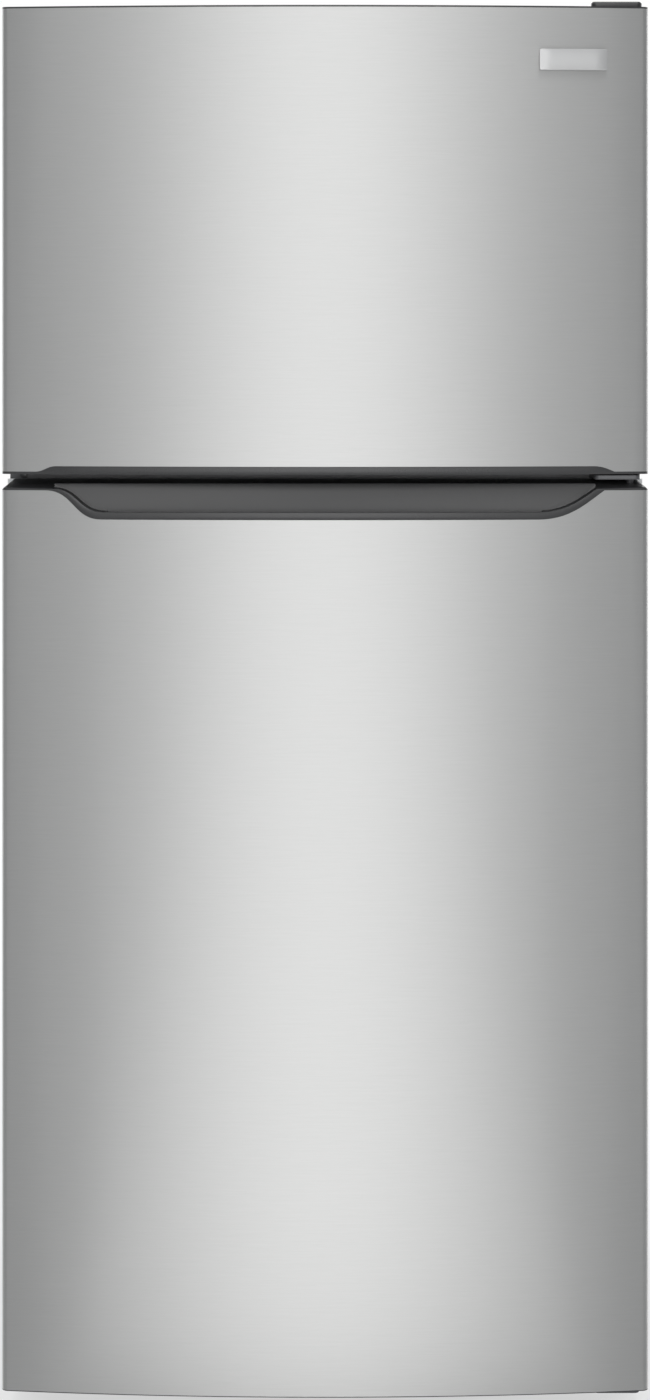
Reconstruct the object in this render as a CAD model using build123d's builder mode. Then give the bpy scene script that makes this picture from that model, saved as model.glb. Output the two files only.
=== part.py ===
"""Top freezer refrigerator: a foamed cabinet, two bowed stainless doors and what they hold inside.

X runs to the right, the doors face -Y, Z is up, in millimetres. The origin is on the floor, under the
middle of the outer box.
"""

from build123d import *
import os

os.makedirs("parts", exist_ok=True)

# ---------------------------------------------------------------- outer sizes
width = 762.0
depth = 770.0
door_bottom = 40.0  # underside of the fresh-food door, above the floor
fridge_door_height = 1072.0
door_gap = 8.5  # between the two doors
freezer_door_height = 550.5
lid_gap = 1.0  # top of the freezer door below the cabinet top
hinge_cover_rise = 6.5

# ---------------------------------------------------------------- cabinet
case_inset = 2.5  # cabinet side behind the door side
case_bottom = 30.0
base_z = 38.0  # underside of the base pan
sheet = 0.8  # painted and stainless sheet steel
base_sheet = 1.0
liner_wall = 2.0
side_wall = 47.5  # insulated walls, from outer sheet to the inside of the liner
freezer_side_wall = 60.5
roof_wall = 62.0
back_wall = 56.0
floor_wall = 57.0
mullion = 76.0  # between the two compartments
machine_depth = 180.0
machine_height = 224.0  # from the base pan to the roof of the machine compartment
step_wall = 50.0
condenser_space = 18.0

# ---------------------------------------------------------------- doors
front_bow = 24.0  # crest of the front over its sides
corner_radius = 8.0
least_radius = 1.0  # of a surface well inside the corner
door_thickness = 62.0  # side of the door, front corner to back
gasket_thickness = 12.0
seal_gap = 0.3
gasket_width = 16.0
gasket_inset = 29.0  # door side to outer edge of the gasket
gasket_end = 14.0  # door end to outer edge of the gasket
top_trim = 2.0  # dark edge of the cap above the freezer door's sheet
pan_recess = 13.0  # door liner's pan below its flange
dyke_height = 37.0
dyke_width = 40.0
dyke_gap = 15.0  # dyke to the inside of the compartment

# handle mouldings: a scooped lip along the top of the lower door and under the upper door
grip_end = 52.0  # door side to where the sheet's edge starts to dip
grip_run = 66.0  # length of the dip's slope
right_ease = 12.0  # the right slope is longer by this much
grip_drop = 34.0
shoulder_drop = 10.5  # top of the lower door to the sheet's shoulder
lip_height = 8.5
lip_thickness = 8.0
pocket_back = 21.0  # back of the finger pocket, behind the door's front corner
trough_depth = 14.0  # pocket floor below the top of the lip
cap_chamfer = 10.0
cap_fall = 9.0  # the lower door's top is this much lower at its front
cap_fall_front = 8.0  # where the fall ends, in front of the door's front corner
cap_fall_back = 43.0  # where it starts, behind that corner
cap_plug = 18.0
freezer_lip = 9.5
freezer_trim = 3.0
freezer_run = 24.0
freezer_trough = 28.0

# hinges
hinge_inset = 19.0  # pin to door side
hinge_setback = 27.0  # pin behind the door's front corner
pin_radius = 4.0
pin_fit = 0.05
pin_depth = 18.0
hinge_plate = 5.0
top_plate = 2.5
hinge_length = 54.0
pin_land = 10.0  # plate beyond the pin
leaf_setback = 4.0  # middle hinge's leaf behind the door's front corner
screw_radius = 2.5
screw_fit = 0.1
screw_head = 4.5
screw_head_height = 1.8
cover_wall = 1.2

# inside
shelf_levels = (570.0, 795.0)  # tops of the glass shelves
cover_level = 345.0  # top of the crisper cover
shelf_thickness = 14.0
shelf_border = 22.0
glass_thickness = 4.0
glass_rebate = 8.0
shelf_setback = 15.0  # shelf front behind the door bins
rail_width = 8.0
rail_height = 8.0
bin_depth = 125.0
bin_wall = 2.5
crisper_clearance = 25.0  # crisper front behind the door bins
crisper_top = 318.0
crisper_gap = 6.0
crisper_side = 4.0
crisper_lift = 1.0
freezer_shelf_level = 1390.0

# ---------------------------------------------------------------- planes worked out from the sizes
fridge_top = door_bottom + fridge_door_height
seam_z = fridge_top + door_gap / 2
freezer_bottom = fridge_top + door_gap
freezer_top = freezer_bottom + freezer_door_height
case_top = freezer_top + lid_gap
height = case_top + hinge_cover_rise

front_y = -depth / 2
edge_y = front_y + front_bow
door_back = edge_y + door_thickness
flange_y = door_back + gasket_thickness
back_y = depth / 2 - condenser_space

half = width / 2
case_half = half - case_inset
fresh_half = case_half - side_wall
freezer_half = case_half - freezer_side_wall
liner_back = back_y - back_wall
fresh_floor = base_z + floor_wall
fresh_ceiling = seam_z - mullion / 2
freezer_floor = seam_z + mullion / 2
freezer_ceiling = case_top - roof_wall
machine_front = back_y - machine_depth
machine_top = base_z + machine_height
step_y = machine_front - step_wall
step_z = machine_top + step_wall

hinge_x = half - hinge_inset
hinge_y = edge_y + hinge_setback
pan_y = door_back - pan_recess
bin_inner = pan_y + bin_depth
crisper_front = bin_inner + crisper_clearance
shelf_front = bin_inner + shelf_setback
shoulder_half = half - grip_end
grip_half = shoulder_half - grip_run
pocket_y = edge_y + pocket_back
grip_z = fridge_top - shoulder_drop - grip_drop  # lowest part of the lower door's sheet edge


# ---------------------------------------------------------------- helpers
def block(x, y, z, mode=Mode.ADD):
    """Box between three pairs of limits, added to or cut from the part in progress."""
    with Locations(((x[0] + x[1]) / 2, (y[0] + y[1]) / 2, (z[0] + z[1]) / 2)):
        Box(x[1] - x[0], y[1] - y[0], z[1] - z[0], mode=mode)


def rod(start, direction, radius, length, mode=Mode.ADD):
    """Round bar from a point along a direction."""
    with BuildSketch(Plane(origin=start, z_dir=direction)) as end:
        Circle(radius)
    extrude(end.sketch, amount=length, mode=mode)


def both(value):
    """Limits at equal distances on both sides of the middle."""
    return (-value, value)


def draw_door_plan(inset, rear):
    """Plan of a door: bowed front, rounded front corners, flat back at a given y."""
    with BuildLine() as outline:
        ThreePointArc(
            (-half + inset, edge_y + inset), (0, front_y + inset), (half - inset, edge_y + inset)
        )
        Polyline(
            (half - inset, edge_y + inset),
            (half - inset, rear),
            (-half + inset, rear),
            (-half + inset, edge_y + inset),
        )
    make_face(outline.edges())
    fillet(vertices().group_by(Axis.Y)[0], max(corner_radius - inset, least_radius))


def door_slab(inset, rear, low, high, mode=Mode.ADD):
    """Door plan raised between two heights."""
    with BuildSketch(Plane.XY.offset(low)) as plan:
        draw_door_plan(inset, rear)
    extrude(plan.sketch, amount=high - low, mode=mode)


def draw_over_grip(margin):
    """Front view above the lower door's dipped edge, or above a line a margin inside it.

    The left end dips in an S, the right end rises to a plain corner.
    """
    low = grip_z + margin
    high = fridge_top - shoulder_drop + margin / 4
    inner = shoulder_half - margin
    outer = half + 1 if margin == 0 else inner + 0.01
    with BuildLine() as outline:
        Spline((-inner, high), (-grip_half + margin / 4, low), tangents=((1, 0), (1, 0)))
        Line((-grip_half + margin / 4, low), (grip_half - right_ease, low))
        Spline((grip_half - right_ease, low), (inner, high), tangents=((1, 0), (1, 0.7)))
        Polyline(
            (inner, high),
            (outer, high),
            (outer, fridge_top + 1),
            (-outer, fridge_top + 1),
            (-outer, high),
            (-inner, high),
        )
    make_face(outline.edges())


def draw_under_lip():
    """Front view under the upper door's sheet edge, which is higher along its lip."""
    low = freezer_bottom + freezer_trim
    high = freezer_bottom + freezer_lip
    inner = shoulder_half - freezer_run / 2
    outer = shoulder_half + freezer_run / 2
    with BuildLine() as outline:
        Polyline((-half - 1, freezer_bottom - 1), (-half - 1, low), (-outer, low))
        Spline((-outer, low), (-inner, high), tangents=((1, 0), (1, 0)))
        Line((-inner, high), (inner, high))
        Spline((inner, high), (outer, low), tangents=((1, 0), (1, -0.4)))
        Polyline(
            (outer, low), (half + 1, low), (half + 1, freezer_bottom - 1), (-half - 1, freezer_bottom - 1)
        )
    make_face(outline.edges())


# ---------------------------------------------------------------- cabinet: outer case
# One sheet wrapped over both sides and the roof, its front edges turned in to carry the door seals.
with BuildPart() as outer_case:
    block(both(case_half), (flange_y, back_y), (case_bottom, case_top))
    block(
        both(case_half - sheet), (flange_y + sheet, back_y + 1), (case_bottom - 1, case_top - sheet),
        Mode.SUBTRACT,
    )
    block(
        both(fresh_half + liner_wall), (flange_y - 1, flange_y + sheet),
        (case_bottom - 1, freezer_floor - liner_wall), Mode.SUBTRACT,
    )
    block(
        both(freezer_half + liner_wall), (flange_y - 1, flange_y + sheet),
        (freezer_floor - liner_wall - 1, freezer_ceiling + liner_wall), Mode.SUBTRACT,
    )
    # screw holes of the middle hinge and its mirror image, then of the top hinge
    for x in (hinge_x, -hinge_x):
        rod((x, flange_y - 1, seam_z), (0, 1, 0), screw_radius + screw_fit, 3, Mode.SUBTRACT)
    for x in (hinge_x - 30, hinge_x - 8):
        rod(
            (x, flange_y + 30, case_top - 2), (0, 0, 1), screw_radius + screw_fit, 3, Mode.SUBTRACT
        )
outer_case.part.label = "outer_case"
export_step(outer_case.part, "parts/outer_case.step")

# Flat sheet that closes the back above the machine compartment.
with BuildPart() as back_panel:
    block(
        both(case_half - sheet), (back_y - sheet, back_y), (machine_top + base_sheet, case_top - sheet)
    )
back_panel.part.label = "back_panel"
export_step(back_panel.part, "parts/back_panel.step")

# Bottom sheet, stepped up over the machine compartment, with the front upstand that the lower seal
# lands on and the threaded bosses of the two levelling legs.
leg_x = case_half - 48
leg_y = flange_y + 72
leg_radius = 5.0
leg_fit = 0.15
boss_radius = 10.0
boss_bottom = 18.0
with BuildPart() as base_pan:
    with BuildSketch(Plane.YZ.offset(-case_half + sheet)):
        with BuildLine():
            Polyline(
                (flange_y + sheet, base_z),
                (machine_front, base_z),
                (machine_front, machine_top),
                (back_y, machine_top),
                (back_y, machine_top + base_sheet),
                (machine_front - base_sheet, machine_top + base_sheet),
                (machine_front - base_sheet, base_z + base_sheet),
                (flange_y + sheet, base_z + base_sheet),
                close=True,
            )
        make_face()
    extrude(amount=2 * (case_half - sheet))
    block(both(fresh_half + liner_wall), (flange_y, flange_y + sheet), (base_z, fresh_floor - liner_wall))
    for x in (-leg_x, leg_x):
        rod((x, leg_y, boss_bottom), (0, 0, 1), boss_radius, base_z - boss_bottom)
        rod(
            (x, leg_y, boss_bottom - 1), (0, 0, 1), leg_radius + leg_fit, base_z - boss_bottom,
            Mode.SUBTRACT,
        )
base_pan.part.label = "base_pan"
export_step(base_pan.part, "parts/base_pan.step")

# Steel rail across the front between the two compartments.
with BuildPart() as mullion_rail:
    block(
        both(fresh_half + liner_wall), (flange_y, flange_y + sheet),
        (fresh_ceiling + liner_wall, freezer_floor - liner_wall),
    )
mullion_rail.part.label = "mullion_rail"
export_step(mullion_rail.part, "parts/mullion_rail.step")


# ---------------------------------------------------------------- cabinet: liners and foam
def draw_fresh_profile(grow):
    """Side view of the fresh-food compartment, stepped over the machine compartment."""
    with BuildLine() as outline:
        Polyline(
            (flange_y, fresh_floor - grow),
            (step_y + grow, fresh_floor - grow),
            (step_y + grow, step_z - grow),
            (liner_back + grow, step_z - grow),
            (liner_back + grow, fresh_ceiling + grow),
            (flange_y, fresh_ceiling + grow),
            close=True,
        )
    make_face(outline.edges())


shelf_half = fresh_half - 2
freezer_shelf_half = freezer_half - 2
with BuildPart() as fresh_food_liner:
    with BuildSketch(Plane.YZ.offset(-fresh_half - liner_wall)):
        draw_fresh_profile(liner_wall)
    extrude(amount=2 * (fresh_half + liner_wall))
    with BuildSketch(Plane.YZ.offset(-fresh_half)):
        draw_fresh_profile(0)
    extrude(amount=2 * fresh_half, mode=Mode.SUBTRACT)
    # side rails that the shelves and the crisper cover sit on
    for level in (cover_level, *shelf_levels):
        for side in (-1, 1):
            block(
                sorted((side * fresh_half, side * (fresh_half - rail_width))),
                (shelf_front + 10, liner_back),
                (level - shelf_thickness - rail_height, level - shelf_thickness),
            )
fresh_food_liner.part.label = "fresh_food_liner"
export_step(fresh_food_liner.part, "parts/fresh_food_liner.step")

wire_radius = 2.0
shelf_rod_radius = 3.0
shelf_rod_bottom = freezer_shelf_level - 2 * (shelf_rod_radius + wire_radius) + 1
with BuildPart() as freezer_liner:
    block(
        both(freezer_half + liner_wall), (flange_y, liner_back + liner_wall),
        (freezer_floor - liner_wall, freezer_ceiling + liner_wall),
    )
    block(
        both(freezer_half), (flange_y - 1, liner_back), (freezer_floor, freezer_ceiling), Mode.SUBTRACT
    )
    for side in (-1, 1):
        block(
            sorted((side * freezer_half, side * (freezer_half - rail_width))),
            (shelf_front, liner_back - 90),
            (shelf_rod_bottom - rail_height, shelf_rod_bottom),
        )
freezer_liner.part.label = "freezer_liner"
export_step(freezer_liner.part, "parts/freezer_liner.step")

# Poured foam: everything between the sheets and the liners.
with BuildPart() as foam_insulation:
    block(
        both(case_half - sheet), (flange_y + sheet, back_y - sheet), (base_z + base_sheet, case_top - sheet)
    )
    block(
        both(case_half), (machine_front - base_sheet, back_y), (base_z, machine_top + base_sheet),
        Mode.SUBTRACT,
    )
    with BuildSketch(Plane.YZ.offset(-fresh_half - liner_wall)):
        draw_fresh_profile(liner_wall)
    extrude(amount=2 * (fresh_half + liner_wall), mode=Mode.SUBTRACT)
    block(
        both(freezer_half + liner_wall), (flange_y, liner_back + liner_wall),
        (freezer_floor - liner_wall, freezer_ceiling + liner_wall), Mode.SUBTRACT,
    )
foam_insulation.part.label = "foam_insulation"
export_step(foam_insulation.part, "parts/foam_insulation.step")

# ---------------------------------------------------------------- hinges
# The top hinge lies on the roof and reaches out over the upper door, the middle one stands on the
# front flange between the doors, the bottom one under the lower door. All three pins share one line.
hinge_left = hinge_x + pin_land - hinge_length
plate_front = hinge_y - pin_land - 2
pin_reach = 2.0  # pin end short of the bottom of its bore
with BuildPart() as top_hinge:
    block((hinge_left, hinge_x + pin_land), (plate_front, flange_y + 44), (case_top, case_top + top_plate))
    fillet(edges().filter_by(Axis.Z), 5)
    rod((hinge_x, hinge_y, case_top), (0, 0, -1), pin_radius, lid_gap + pin_depth - pin_reach)
    for x in (hinge_x - 30, hinge_x - 8):
        rod((x, flange_y + 30, case_top - 1), (0, 0, 1), screw_radius + screw_fit, 5, Mode.SUBTRACT)
top_hinge.part.label = "top_hinge"
export_step(top_hinge.part, "parts/top_hinge.step")

foot_thickness = 3.0
with BuildPart() as middle_hinge:
    block(
        (hinge_left, hinge_x + pin_land), (edge_y + leaf_setback, flange_y),
        (seam_z - hinge_plate / 2, seam_z + hinge_plate / 2),
    )
    fillet(edges().filter_by(Axis.Z).group_by(Axis.Y)[0], 6)
    block((hinge_left, hinge_x + pin_land), (flange_y - foot_thickness, flange_y), (seam_z - 7, seam_z + 7))
    rod((hinge_x, hinge_y, seam_z), (0, 0, 1), pin_radius, door_gap / 2 + pin_depth - pin_reach)
    rod((hinge_x, hinge_y, seam_z), (0, 0, -1), pin_radius, door_gap / 2 + pin_depth - pin_reach)
middle_hinge.part.label = "middle_hinge"
export_step(middle_hinge.part, "parts/middle_hinge.step")

bottom_plate = 4.0
bottom_hinge_z = door_bottom - 8
with BuildPart() as bottom_hinge:
    block(
        (hinge_left, hinge_x + pin_land), (plate_front, flange_y),
        (bottom_hinge_z, bottom_hinge_z + bottom_plate),
    )
    fillet(edges().filter_by(Axis.Z).group_by(Axis.Y)[0], 6)
    block(
        (hinge_left, hinge_x + pin_land), (flange_y - foot_thickness, flange_y),
        (bottom_hinge_z, bottom_hinge_z + 26),
    )
    rod(
        (hinge_x, hinge_y, bottom_hinge_z), (0, 0, 1), pin_radius,
        door_bottom - bottom_hinge_z + pin_depth - pin_reach,
    )
    for x in (hinge_left + 10, hinge_x - 2):
        rod(
            (x, flange_y - 5, bottom_hinge_z + 16), (0, 1, 0), screw_radius + screw_fit, 9, Mode.SUBTRACT
        )
bottom_hinge.part.label = "bottom_hinge"
export_step(bottom_hinge.part, "parts/bottom_hinge.step")

# Plastic cover that clips over the top hinge.
with BuildPart() as hinge_cover:
    block(
        (hinge_left - 3, hinge_x + pin_land + 3), (plate_front - 4, flange_y + 52),
        (case_top, case_top + hinge_cover_rise),
    )
    fillet(edges().filter_by(Axis.Z), 6)
    chamfer(edges().group_by(Axis.Z)[-1], 2.0)
    block(
        (hinge_left - 0.5, hinge_x + pin_land + 0.5), (plate_front - 1, flange_y + 49),
        (case_top - 1, case_top + hinge_cover_rise - cover_wall), Mode.SUBTRACT,
    )
hinge_cover.part.label = "hinge_cover"
export_step(hinge_cover.part, "parts/hinge_cover.step")

# Screws of the top and bottom hinges.
with BuildPart() as hinge_screws:
    for x in (hinge_x - 30, hinge_x - 8):
        rod((x, flange_y + 30, case_top - sheet), (0, 0, 1), screw_radius, sheet + top_plate)
        rod((x, flange_y + 30, case_top + top_plate), (0, 0, 1), screw_head, screw_head_height)
    for x in (hinge_left + 10, hinge_x - 2):
        rod(
            (x, flange_y - foot_thickness, bottom_hinge_z + 16), (0, 1, 0), screw_radius, foot_thickness
        )
        rod(
            (x, flange_y - foot_thickness, bottom_hinge_z + 16), (0, -1, 0), screw_head,
            screw_head_height,
        )
hinge_screws.part.label = "hinge_screws"
export_step(hinge_screws.part, "parts/hinge_screws.step")

# Button that plugs the spare middle hinge hole on the left, and the stud behind the middle hinge.
plug_radius = 4.5
with BuildPart() as hinge_hole_plugs:
    rod((-hinge_x, flange_y, seam_z), (0, -1, 0), plug_radius, 2.5)
    rod((-hinge_x, flange_y, seam_z), (0, 1, 0), screw_radius, sheet)
    rod((hinge_x, flange_y, seam_z), (0, 1, 0), screw_radius, sheet)
hinge_hole_plugs.part.label = "hinge_hole_plugs"
export_step(hinge_hole_plugs.part, "parts/hinge_hole_plugs.step")

# ---------------------------------------------------------------- toe grille, legs and rollers
grille_y = flange_y + 32
with BuildPart() as toe_grille:
    block(both(case_half - 14), (grille_y, grille_y + 4), (8, base_z))
    with Locations((0, grille_y + 2, 23)):
        with GridLocations(64, 0, 11, 1):
            for z in (-8, 0, 8):
                with Locations((0, 0, z)):
                    Box(52, 8, 4, mode=Mode.SUBTRACT)
toe_grille.part.label = "toe_grille"
export_step(toe_grille.part, "parts/toe_grille.step")

foot_radius = 20.0
foot_height = 8.0
for name, x in (("levelling_leg_left", -leg_x), ("levelling_leg_right", leg_x)):
    with BuildPart() as levelling_leg:
        rod((x, leg_y, 0), (0, 0, 1), foot_radius, foot_height)
        chamfer(edges().group_by(Axis.Z)[-1], 3)
        rod((x, leg_y, foot_height), (0, 0, 1), leg_radius, base_z - foot_height - 3)
    levelling_leg.part.label = name
    export_step(levelling_leg.part, f"parts/{name}.step")

# Cross plate in the machine compartment. It carries the compressor and the rear rollers, and its tab
# has the hole where the mains lead enters.
plate_z = base_z
plate_thickness = 3.0
tab_x = 250.0
cord_hole = 8.0
tab_y = back_y - 8
cord_z = plate_z + 30
with BuildPart() as compressor_base:
    block(both(case_half - sheet), (machine_front + 3, back_y - 3), (plate_z, plate_z + plate_thickness))
    block((tab_x - 22, tab_x + 22), (tab_y, tab_y + 3), (plate_z, cord_z + 20))
    rod((tab_x, tab_y - 1, cord_z), (0, 1, 0), cord_hole, 5, Mode.SUBTRACT)
compressor_base.part.label = "compressor_base"
export_step(compressor_base.part, "parts/compressor_base.step")

roller_radius = 17.0
roller_width = 30.0
axle_radius = 4.0
axle_fit = 0.1
roller_x = case_half - 34
roller_y = back_y - 62
bracket_wall = 2.0
bracket_gap = 1.5
with BuildPart() as roller_brackets:
    for x in (-roller_x, roller_x):
        inner = roller_width / 2 + bracket_gap
        outer = inner + bracket_wall
        block((x - outer, x + outer), (roller_y - 22, roller_y + 22), (plate_z - bracket_wall, plate_z))
        for low, high in ((x - outer, x - inner), (x + inner, x + outer)):
            block((low, high), (roller_y - 12, roller_y + 12), (roller_radius - 10, plate_z))
        rod((x - outer, roller_y, roller_radius), (1, 0, 0), axle_radius, 2 * outer)
roller_brackets.part.label = "roller_brackets"
export_step(roller_brackets.part, "parts/roller_brackets.step")

for name, x in (("rear_roller_left", -roller_x), ("rear_roller_right", roller_x)):
    with BuildPart() as rear_roller:
        rod((x - roller_width / 2, roller_y, roller_radius), (1, 0, 0), roller_radius, roller_width)
        chamfer(edges().filter_by(GeomType.CIRCLE), 1.5)
        rod(
            (x - roller_width / 2 - 1, roller_y, roller_radius), (1, 0, 0), axle_radius + axle_fit,
            roller_width + 2, Mode.SUBTRACT,
        )
    rear_roller.part.label = name
    export_step(rear_roller.part, f"parts/{name}.step")

# ---------------------------------------------------------------- refrigeration circuit
shell_radius = 74.0
shell_x = -110.0
shell_y = machine_front + 92
shell_bottom = plate_z + plate_thickness + 14
shell_height = 150.0
mount_offset = (78.0, 60.0)
with BuildPart() as compressor:
    rod((shell_x, shell_y, shell_bottom), (0, 0, 1), shell_radius, shell_height)
    fillet(edges().group_by(Axis.Z)[-1], 34)
    fillet(edges().group_by(Axis.Z)[0], 14)
    rod((shell_x, shell_y, shell_bottom + 78), (0, 0, 1), shell_radius + 4, 5)
    block(
        (shell_x - mount_offset[0] - 16, shell_x + mount_offset[0] + 16),
        (shell_y - mount_offset[1] - 14, shell_y + mount_offset[1] + 14),
        (shell_bottom - 3, shell_bottom + 1),
    )
    with Locations((shell_x, shell_y, shell_bottom - 4)):
        with GridLocations(2 * mount_offset[0], 2 * mount_offset[1], 2, 2):
            Cylinder(4, 20, mode=Mode.SUBTRACT)
compressor.part.label = "compressor"
export_step(compressor.part, "parts/compressor.step")

# Four rubber mounts with their bolts' sleeves.
with BuildPart() as compressor_mounts:
    with Locations((shell_x, shell_y, plate_z + plate_thickness)):
        with GridLocations(2 * mount_offset[0], 2 * mount_offset[1], 2, 2):
            Cylinder(12, 11, align=(Align.CENTER, Align.CENTER, Align.MIN))
            Cylinder(3.8, 18, align=(Align.CENTER, Align.CENTER, Align.MIN))
compressor_mounts.part.label = "compressor_mounts"
export_step(compressor_mounts.part, "parts/compressor_mounts.step")

with BuildPart() as start_relay_cover:
    block(
        (shell_x + shell_radius - 14, shell_x + shell_radius + 34), (shell_y - 32, shell_y + 32),
        (shell_bottom + 12, shell_bottom + 74),
    )
    fillet(edges().filter_by(Axis.Z), 5)
    rod((shell_x, shell_y, shell_bottom - 5), (0, 0, 1), shell_radius, shell_height, Mode.SUBTRACT)
start_relay_cover.part.label = "start_relay_cover"
export_step(start_relay_cover.part, "parts/start_relay_cover.step")

# Tray on top of the compressor where defrost water dries up.
pan_bottom = shell_bottom + shell_height
with BuildPart() as drain_pan:
    block(
        (shell_x - 105, shell_x + 105), (shell_y - 70, shell_y + 70), (pan_bottom, pan_bottom + 30)
    )
    fillet(edges().filter_by(Axis.Z), 14)
    offset(amount=-2, openings=faces().sort_by(Axis.Z)[-1])
drain_pan.part.label = "drain_pan"
export_step(drain_pan.part, "parts/drain_pan.step")

tube_radius = 2.5
tube_y = back_y + 10
run_pitch = 84.0
run_count = 15
run_half = case_half - 62
run_bottom = machine_top + 62
wire_pitch = 42.0
wire_side = 2.4


def serpentine(reach, low, pitch, runs, y):
    """Corners of a tube that goes back and forth, rising one pitch at each end."""
    points = []
    for i in range(runs):
        sides = (-reach, reach) if i % 2 == 0 else (reach, -reach)
        points += [(side, y, low + i * pitch) for side in sides]
    return points


# Wire-on-tube condenser on four stand-off feet, behind the back panel.
with BuildPart() as condenser:
    with BuildLine() as coil:
        FilletPolyline(*serpentine(run_half, run_bottom, run_pitch, run_count, tube_y), radius=run_pitch * 0.45)
    with BuildSketch(Plane(origin=coil.line @ 0, z_dir=coil.line % 0)):
        Circle(tube_radius)
    sweep()
    coil_top = run_bottom + (run_count - 1) * run_pitch
    wire_count = int(2 * (run_half - 60) // wire_pitch) + 1
    for i in range(wire_count):
        x = (i - (wire_count - 1) / 2) * wire_pitch
        block(
            (x - wire_side / 2, x + wire_side / 2), (tube_y + tube_radius - 1, tube_y + tube_radius + 1.4),
            (run_bottom - 12, coil_top + 12),
        )
    for z in (run_bottom, coil_top):
        for x in both(run_half - 90):
            block((x - 9, x + 9), (back_y, depth / 2), (z - 9, z + 9))
condenser.part.label = "condenser"
export_step(condenser.part, "parts/condenser.step")

# Copper lines in the machine compartment, with the filter drier in one of them.
line_radius = 3.0
drier_z = plate_z + 60
with BuildPart() as refrigerant_lines:
    with BuildLine() as discharge:
        FilletPolyline(
            (shell_x + shell_radius + 0.2, shell_y, shell_bottom + 100),
            (150, shell_y, shell_bottom + 100),
            (150, shell_y, shell_bottom + 150),
            (150, back_y - 30, shell_bottom + 150),
            radius=20,
        )
    with BuildSketch(Plane(origin=discharge.line @ 0, z_dir=discharge.line % 0)):
        Circle(line_radius)
    sweep()
    with BuildSketch(Plane(origin=(120, machine_front + 40, drier_z), z_dir=(1, 0, 0))):
        Circle(9)
    extrude(amount=110, taper=0)
    rod((70, machine_front + 40, drier_z), (1, 0, 0), line_radius, 50)
    rod((230, machine_front + 40, drier_z), (1, 0, 0), line_radius, 40)
refrigerant_lines.part.label = "refrigerant_lines"
export_step(refrigerant_lines.part, "parts/refrigerant_lines.step")

# Finned coil on the freezer's back wall, its defrost heater and the feet under it.
fin_count = 21
fin_pitch = 23.0
fin_depth = 46.0
fin_bottom = freezer_floor + 32
fin_height = 170.0
coil_y = liner_back - fin_depth / 2
with BuildPart() as evaporator:
    with BuildLine() as tube:
        FilletPolyline(*serpentine(252, fin_bottom + 20, 32, 5, coil_y), radius=12)
    with BuildSketch(Plane(origin=tube.line @ 0, z_dir=tube.line % 0)):
        Circle(4)
    sweep()
    for i in range(fin_count):
        x = (i - (fin_count - 1) / 2) * fin_pitch
        block((x - 0.6, x + 0.6), (liner_back - fin_depth, liner_back), (fin_bottom, fin_bottom + fin_height))
    rod((-245, coil_y, fin_bottom - 14), (1, 0, 0), 4, 490)
    for x in (-230, 230):
        block((x - 3, x + 3), (coil_y - 5, coil_y + 5), (fin_bottom - 10.5, fin_bottom))
        block((x - 3, x + 3), (coil_y - 5, coil_y + 5), (fin_bottom - 16, fin_bottom - 10))
evaporator.part.label = "evaporator"
export_step(evaporator.part, "parts/evaporator.step")

# Wall in front of the coil, with the fan's ring of slots and return slots along the bottom.
cover_y = liner_back - 86
cover_thickness = 3.0
fan_z = freezer_floor + 300
dial_z = freezer_floor + 190
dial_shaft = 4.0
with BuildPart() as evaporator_cover:
    block(both(freezer_half), (cover_y, cover_y + cover_thickness), (freezer_floor, freezer_ceiling))
    with BuildSketch(Plane.XZ.offset(-cover_y - cover_thickness - 1)):
        with Locations((0, fan_z)):
            with PolarLocations(34, 14):
                SlotOverall(26, 6)
        with Locations((0, freezer_floor + 24)):
            with GridLocations(44, 0, 13, 1):
                SlotOverall(34, 8)
        with Locations((0, dial_z)):
            Circle(dial_shaft + pin_fit)
    extrude(amount=cover_thickness + 2, mode=Mode.SUBTRACT)
evaporator_cover.part.label = "evaporator_cover"
export_step(evaporator_cover.part, "parts/evaporator_cover.step")

shaft_radius = 2.0
hub_radius = 15.0
blade_reach = 52.0
hub_front = cover_y + cover_thickness + 8
hub_depth = 16.0
with BuildPart() as fan_motor:
    rod((0, liner_back, fan_z), (0, -1, 0), 24, 44)
    fillet(edges().group_by(Axis.Y)[0], 4)
    rod((0, liner_back - 44, fan_z), (0, -1, 0), shaft_radius, liner_back - 44 - hub_front - 2)
    block((-46, 46), (liner_back - 4, liner_back), (fan_z - 9, fan_z + 9))
fan_motor.part.label = "fan_motor"
export_step(fan_motor.part, "parts/fan_motor.step")

with BuildPart() as evaporator_fan:
    rod((0, hub_front, fan_z), (0, 1, 0), hub_radius, hub_depth)
    with Locations(Location((0, hub_front + hub_depth / 2, fan_z), (90, 0, 0))):
        with PolarLocations(0, 4):
            with Locations(Location(((hub_radius + blade_reach) / 2 - 1, 0, 0), (28, 0, 0))):
                Box(blade_reach - hub_radius + 2, 30, 2)
    rod(
        (0, hub_front + 2, fan_z), (0, 1, 0), shaft_radius + pin_fit, hub_depth, Mode.SUBTRACT
    )
evaporator_fan.part.label = "evaporator_fan"
export_step(evaporator_fan.part, "parts/evaporator_fan.step")

# Knob for the freezer's air damper, its shaft through the cover.
with BuildPart() as freezer_dial:
    rod((0, cover_y - 0.5, dial_z), (0, -1, 0), 20, 5)
    block((-4, 4), (cover_y - 14, cover_y - 5), (dial_z - 18, dial_z + 18))
    rod((0, cover_y - 1, dial_z), (0, 1, 0), dial_shaft, cover_thickness + 4)
freezer_dial.part.label = "freezer_dial"
export_step(freezer_dial.part, "parts/freezer_dial.step")

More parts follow.
